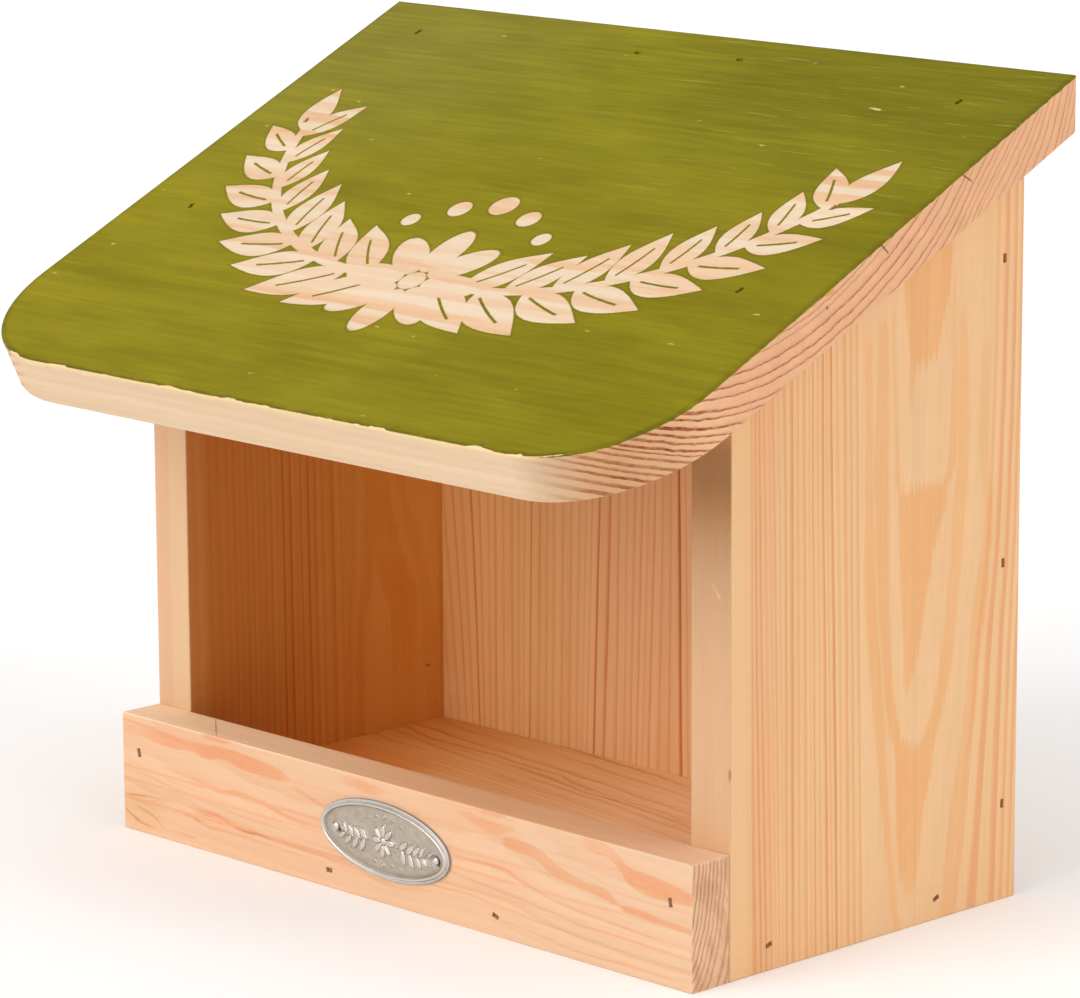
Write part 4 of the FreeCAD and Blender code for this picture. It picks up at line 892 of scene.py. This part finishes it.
# ------------------------------------------------------------------ metals
def steel_material(name, base, dark, rough, seed, scale=1.0, stain=0.5):
    t = Tree(name, Metallic=1.0)
    v = t.vec(t.x * scale + seed, t.y * scale, t.z * scale)
    a = t.noise(v, 4.0, 0.6)
    b = t.noise(t.vmath("SCALE", v, scale=6.0), 3.0, 0.6)
    colour = t.mix(base, dark, t.ramp(a, 0.45, 0.75) * stain)
    colour = t.gain(colour, 0.94 + 0.12 * b)
    return t.finish(colour, rough + 0.16 * (a - 0.5) + 0.1 * (b - 0.5), 0.02 * b + 0.02 * a)


def assign(node, material):
    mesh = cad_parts[node].data
    mesh.materials.clear()
    mesh.materials.append(material)


# ------------------------------------------------------------------ the oval plate and its tacks
PLATE_A, PLATE_B = 27.9, 11.5
PLATE_X, PLATE_Y, PLATE_Z = -2.1, -137.0, -180.6
TILT = math.radians(2.2)
TACKS = ((-20.7, -0.2), (22.3, -0.7))
# cross-section of the rim, from the outer edge inwards: distance in, height over the wood
RIM = [(0.0, 0.0), (0.0, 0.55), (0.06, 0.80), (0.18, 0.93), (0.40, 0.98), (0.62, 0.96), (0.78, 0.89), (0.88, 0.86), (0.98, 0.95), (1.08, 1.18), (1.20, 1.46),
       (1.34, 1.65), (1.50, 1.70), (1.66, 1.62), (1.80, 1.40), (1.92, 1.10), (2.03, 0.88), (2.16, 0.80), (2.34, 0.84), (2.56, 0.92)]


def plate_point(x, z, h):
    """A point of the plate: x along it, z up it, h out of the wood, in metres."""
    c, s = math.cos(TILT), math.sin(TILT)
    return Vector((PLATE_X + x * c + z * s, PLATE_Y - h, PLATE_Z - x * s + z * c)) * 0.001


def smooth(x, a, b):
    k = min(max((x - a) / (b - a), 0.0), 1.0)
    return k * k * (3 - 2 * k)


def leaf_size(x, y, length, width):
    k = x / length
    if k <= 0 or k >= 1:
        return -1.0
    return min(k * (1 - k) * (1 - 0.5 * k) * width * 2.8 - abs(y), min(x, length - x) * 0.6)


def relief(x, z):
    """Height of the cast ornament on the plate: a rosette between two sprigs."""
    x0, z0 = x, z
    x, z = x * 0.94, z * 0.90
    r, a = math.hypot(x, z), math.atan2(z, abs(x))
    h = 0.0
    fold = math.pi / 8
    q = abs((a + fold) % (2 * fold) - fold)
    px, py = r * math.cos(q), r * math.sin(q)
    petal = (1 - math.hypot((px - 2.75) / 1.95, py / 0.98)) * 0.98
    h = max(h, 0.50 * smooth(petal, -0.05, 0.34) - (0.10 * smooth(0.16 - py, 0.0, 0.12) if petal > 0.2 else 0.0))
    h = max(h, 0.52 * smooth(1.15 - r, -0.10, 0.50))
    sx = abs(x)
    # stem: a shallow bow from the rosette outwards
    line = -1.35 + 0.030 * (sx - 11.0) * (sx - 11.0)
    if 5.4 < sx < 18.4:
        h = max(h, 0.26 * smooth(0.34 - abs(z - line), -0.05, 0.22) * smooth(sx, 5.4, 6.2) * smooth(sx, 18.4, 17.8))
    for i, (lx, lean, size) in enumerate(((6.6, 0.95, 1.0), (9.3, 0.85, 1.0), (12.0, 0.80, 0.92), (14.6, 0.80, 0.80))):
        lz = -1.35 + 0.030 * (lx - 11.0) ** 2
        for side in (1, -1):
            slope = 0.06 * (lx - 11.0)
            ang = math.atan(slope) + side * lean
            dx, dz = sx - lx - (0.0 if side > 0 else 0.9), z - lz
            ux = dx * math.cos(ang) + dz * math.sin(ang)
            uy = dz * math.cos(ang) - dx * math.sin(ang)
            d = leaf_size(ux, uy, 4.5 * size, 1.9 * size)
            if d > -0.1:
                h = max(h, 0.46 * smooth(d, -0.06, 0.26) - 0.10 * smooth(0.14 - abs(uy), 0.0, 0.10) * smooth(ux, 0.6, 1.2))
    d = leaf_size(sx - 17.4, z - line + 0.0, 3.0, 1.5) if sx > 17.0 and sx < 20.0 else -1.0
    h = max(h, 0.30 * smooth(d, -0.06, 0.24))
    for bx, bz, br in ((0.0, 6.6, 0.62), (3.4, 6.2, 0.5), (6.6, 5.3, 0.42), (0.0, -6.6, 0.62), (3.4, -6.2, 0.5)):
        h = max(h, 0.32 * smooth(br - math.hypot(sx - bx, z - bz), -0.08, 0.34))
    # the cast ground: soft, low, uneven lumps
    ground = 0.05 * noise.noise(Vector((x0 * 0.45, z0 * 0.60, 3.0))) + 0.035 * noise.noise(Vector((x0 * 1.3, z0 * 1.5, 9.0)))
    return 1.15 * h + ground


def build_plate():
    bm = bmesh.new()
    N, M = 360, 62
    rings = []
    for e, h in RIM:
        ring = []
        for i in range(N):
            th = 2 * math.pi * i / N
            c, s = math.cos(th), math.sin(th)
            nx, nz = c / PLATE_A, s / PLATE_B
            ln = math.hypot(nx, nz)
            wave = 0.03 * math.sin(3 * th + 0.6) + 0.02 * math.sin(11 * th)
            ring.append(bm.verts.new(plate_point(PLATE_A * c - nx / ln * e, PLATE_B * s - nz / ln * e, h + (wave if h > 0.3 else 0.0))))
        rings.append(ring)
    # the field, ring by ring down to its middle
    e_in = RIM[-1][0]
    border = []
    for i in range(N):
        th = 2 * math.pi * i / N
        c, s = math.cos(th), math.sin(th)
        nx, nz = c / PLATE_A, s / PLATE_B
        ln = math.hypot(nx, nz)
        border.append((PLATE_A * c - nx / ln * e_in, PLATE_B * s - nz / ln * e_in))
    for j in range(1, M):
        k = 1 - j / M
        ring = []
        for x, z in border:
            x1, z1 = x * k, z * k
            rise = smooth(1 - k, 0.0, 0.08)
            dish = 0.0
            for tx, tz in TACKS:
                dish = max(dish, 0.22 * smooth(1.95 - math.hypot(x1 - tx, z1 - tz), 0.0, 0.5))
            ring.append(bm.verts.new(plate_point(x1, z1, 0.92 + 0.06 * rise + relief(x1, z1) * rise - dish)))
        rings.append(ring)
    for a, b in zip(rings, rings[1:]):
        for i in range(N):
            bm.faces.new((a[i], a[(i + 1) % N], b[(i + 1) % N], b[i]))
    middle = bm.verts.new(plate_point(0, 0, 0.98 + relief(0, 0)))
    for i in range(N):
        bm.faces.new((rings[-1][i], rings[-1][(i + 1) % N], middle))
    bm.faces.new(list(reversed(rings[0])))
    bmesh.ops.recalc_face_normals(bm, faces=bm.faces)
    for face in bm.faces:
        face.smooth = len(face.verts) < 9
    mesh = bpy.data.meshes.new("cast_oval_plate")
    bm.to_mesh(mesh)
    bm.free()
    piece = bpy.data.objects.new("cast_oval_plate", mesh)
    scene.collection.objects.link(piece)
    return piece


def build_tacks():
    """Two domed tacks, hammered a little out of round."""
    bm = bmesh.new()
    profile = [(0.0, 1.70), (0.34, 1.69), (0.66, 1.63), (0.94, 1.52), (1.14, 1.37), (1.27, 1.18), (1.31, 1.02), (1.24, 0.92), (0.98, 0.86), (0.72, 0.84),
               (0.63, 0.78), (0.62, 0.40), (0.62, -3.0), (0.62, -8.2), (0.50, -8.9), (0.25, -9.7), (0.0, -10.0)]
    N = 28
    for side, (tx, tz) in zip((-1, 1), TACKS):
        rings = []
        for r, h in profile:
            if r == 0.0:
                rings.append([bm.verts.new(plate_point(tx, tz, h))])
                continue
            ring = []
            for i in range(N):
                th = 2 * math.pi * i / N
                dent = 1.0
                drop = 0.0
                if h > 0.9:
                    dent = 1.0 + 0.035 * math.sin(2 * th + side) + 0.020 * math.sin(5 * th + 2.0 * side)
                    drop = 0.05 * max(0.0, math.sin(3 * th + 1.3 * side)) * (r / 1.3)
                ring.append(bm.verts.new(plate_point(tx + r * dent * math.cos(th), tz + r * dent * math.sin(th), h - drop)))
            rings.append(ring)
        for a, b in zip(rings, rings[1:]):
            for i in range(N):
                j = (i + 1) % N
                if len(a) == 1:
                    bm.faces.new((a[0], b[j], b[i]))
                elif len(b) == 1:
                    bm.faces.new((a[i], a[j], b[0]))
                else:
                    bm.faces.new((a[i], a[j], b[j], b[i]))
    bmesh.ops.recalc_face_normals(bm, faces=bm.faces)
    for face in bm.faces:
        face.smooth = True
    mesh = bpy.data.meshes.new("domed_tacks")
    bm.to_mesh(mesh)
    bm.free()
    piece = bpy.data.objects.new("domed_tacks", mesh)
    scene.collection.objects.link(piece)
    return piece


def plate_material():
    """Cast zinc: a dull bluish flange, a bead worn bright with a painted highlight, grooves dark with patina and
    painted shade, and a warm grey field.
    """
    t = Tree("cast_zinc", Metallic=0.85)
    dx, dz = t.x - PLATE_X, t.z - PLATE_Z
    c, s = math.cos(TILT), math.sin(TILT)
    x, z = dx * c - dz * s, dx * s + dz * c
    h = PLATE_Y - t.y
    zone = t.hypot(x / (PLATE_A - 0.90), z / (PLATE_B - 0.90))
    flange = t.ramp(zone, 0.995, 1.01)
    field = t.ramp(t.hypot(x / (PLATE_A - 2.1), z / (PLATE_B - 2.1)), 1.01, 0.99)
    a = t.noise(t.vec(x * 0.30, h * 0.3, z * 0.30), 3.0, 0.6) - 0.5
    b = t.noise(t.vec(x * 1.7, h, z * 1.7), 3.0, 0.65) - 0.5
    d = t.noise(t.vec(x * 6.0, h * 4.0, z * 6.0), 2.0, 0.6) - 0.5
    colour = t.mix((0.62, 0.595, 0.55), (0.545, 0.545, 0.535), flange)
    colour = t.mix(colour, (0.52, 0.465, 0.385), field)
    # high points paler: partly worn bright, partly a painted highlight
    rubbed_and_highlight = t.ramp(h + 0.35 * b, 1.25, 1.50)
    colour = t.mix(colour, (0.72, 0.69, 0.64), rubbed_and_highlight * 0.8)
    # grooves and the low field darker: patina and painted shade in the recesses
    groove = t.ramp(h + 0.06 * b, 0.93, 0.80) * t.ramp(h, 0.25, 0.45) * (1.0 - 0.45 * flange)
    groove = groove * (1.0 - field * 0.6)
    colour = t.mix(colour, (0.17, 0.155, 0.135), groove * 0.85)
    low = t.ramp(h + 0.16 * b, 1.06, 0.90) * field
    colour = t.mix(colour, (0.30, 0.26, 0.205), low * 0.5)
    # tarnish and painted shade round the foot of the ornament, and a painted shadow to the right of each tack
    foot = t.ramp(h + 0.10 * b, 1.04, 1.10) * t.ramp(h + 0.10 * b, 1.34, 1.18) * field
    colour = t.mix(colour, (0.15, 0.13, 0.10), foot * 0.72)
    tack_shadow = None
    for tx, tz in TACKS:
        one = t.spot(x, z, tx + 1.35, tz - 0.25, 0.75, 1.25, 0.2, 0.35)
        tack_shadow = one if tack_shadow is None else t.max(tack_shadow, one)
    colour = t.mix(colour, (0.06, 0.05, 0.04), tack_shadow * field * 0.8)
    colour = t.mix(colour, (0.62, 0.575, 0.50), t.ramp(h + 0.1 * b, 1.25, 1.4) * field * 0.6)
    pits = t.ramp(b + 0.5 * d, 0.16, 0.28)
    colour = t.mix(colour, (0.20, 0.18, 0.155), pits * 0.6 * (1.0 - rubbed_and_highlight))
    colour = t.gain(colour, 1.0 + 0.26 * a + 0.16 * b + 0.10 * d)
    rough = 0.46 - 0.12 * rubbed_and_highlight + 0.16 * groove + 0.14 * a + 0.12 * b
    return t.finish(colour, rough, 0.035 * b + 0.015 * d - 0.04 * pits)


assign("right_side_panel", pine_material("right_side_wood", right_side))
assign("left_side_panel", pine_material("left_side_wood", left_side))
assign("back_panel", pine_material("back_wood", back_board))
assign("floor_panel", pine_material("floor_wood", floor_board))
assign("front_rail", pine_material("rail_wood", rail_board))
assign("roof_board", roof_material())
brad = steel_material("brad_steel", (0.36, 0.27, 0.18), (0.16, 0.11, 0.065), 0.55, 1.0)
for name in ("right_side_brads", "left_side_brads", "rail_brads"):
    assign(name, brad)
assign("roof_brads", steel_material("stained_brad_steel", (0.24, 0.215, 0.02), (0.12, 0.105, 0.012), 0.6, 2.0))
zinc = steel_material("zinc_plated_steel", (0.62, 0.63, 0.64), (0.40, 0.41, 0.42), 0.34, 4.0, 0.6)
assign("hanger_plate", zinc)
assign("hanger_screws", zinc)

plate = build_plate()
plate.data.materials.append(plate_material())
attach(plate, "root")
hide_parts("oval_plate")
tacks = build_tacks()
tacks.data.materials.append(steel_material("bright_steel", (0.70, 0.67, 0.62), (0.32, 0.29, 0.25), 0.28, 9.0, 1.2))
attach(tacks, "root")
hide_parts("plate_tacks")

# ------------------------------------------------------------------ floor, world, lights
bpy.ops.mesh.primitive_circle_add(vertices=96, radius=9.0, fill_type="NGON", location=(0, 0, -0.2))
ground = bpy.context.object
ground.name = "studio_floor"
t = Tree("studio_floor", Specular_IOR_Level=0.0, Roughness=0.9)
t.put(t.shader.inputs["Base Color"], (0.97, 0.97, 0.97, 1.0))
ground.data.materials.append(t.mat)

world = bpy.data.worlds.new("studio")
scene.world = world
world.use_nodes = True
wt = world.node_tree
wt.nodes.clear()
out = wt.nodes.new("ShaderNodeOutputWorld")
bg_seen, bg_light = wt.nodes.new("ShaderNodeBackground"), wt.nodes.new("ShaderNodeBackground")
bg_seen.inputs[0].default_value, bg_seen.inputs[1].default_value = (1, 1, 1, 1), 1.0
bg_light.inputs[0].default_value, bg_light.inputs[1].default_value = (1, 1, 1, 1), 0.55
path, mixer = wt.nodes.new("ShaderNodeLightPath"), wt.nodes.new("ShaderNodeMixShader")
wt.links.new(path.outputs["Is Camera Ray"], mixer.inputs[0])
wt.links.new(bg_light.outputs[0], mixer.inputs[1])
wt.links.new(bg_seen.outputs[0], mixer.inputs[2])
wt.links.new(mixer.outputs[0], out.inputs[0])


def soft_sun(name, towards, strength, angle, colour=(1, 1, 1)):
    """A broad soft light that comes from the direction `towards`."""
    light = bpy.data.lights.new(name, "SUN")
    light.energy, light.angle, light.color = strength * math.pi, math.radians(angle), colour
    obj = bpy.data.objects.new(name, light)
    obj.rotation_euler = Vector(towards).to_track_quat("Z", "Y").to_euler()
    scene.collection.objects.link(obj)


soft_sun("key_front_left", (-0.18, -0.90, 0.42), 0.50, 50)
soft_sun("side_right", (0.88, 0.05, 0.46), 0.27, 50)
soft_sun("top", (0.0, -0.25, 0.97), 0.22, 60)
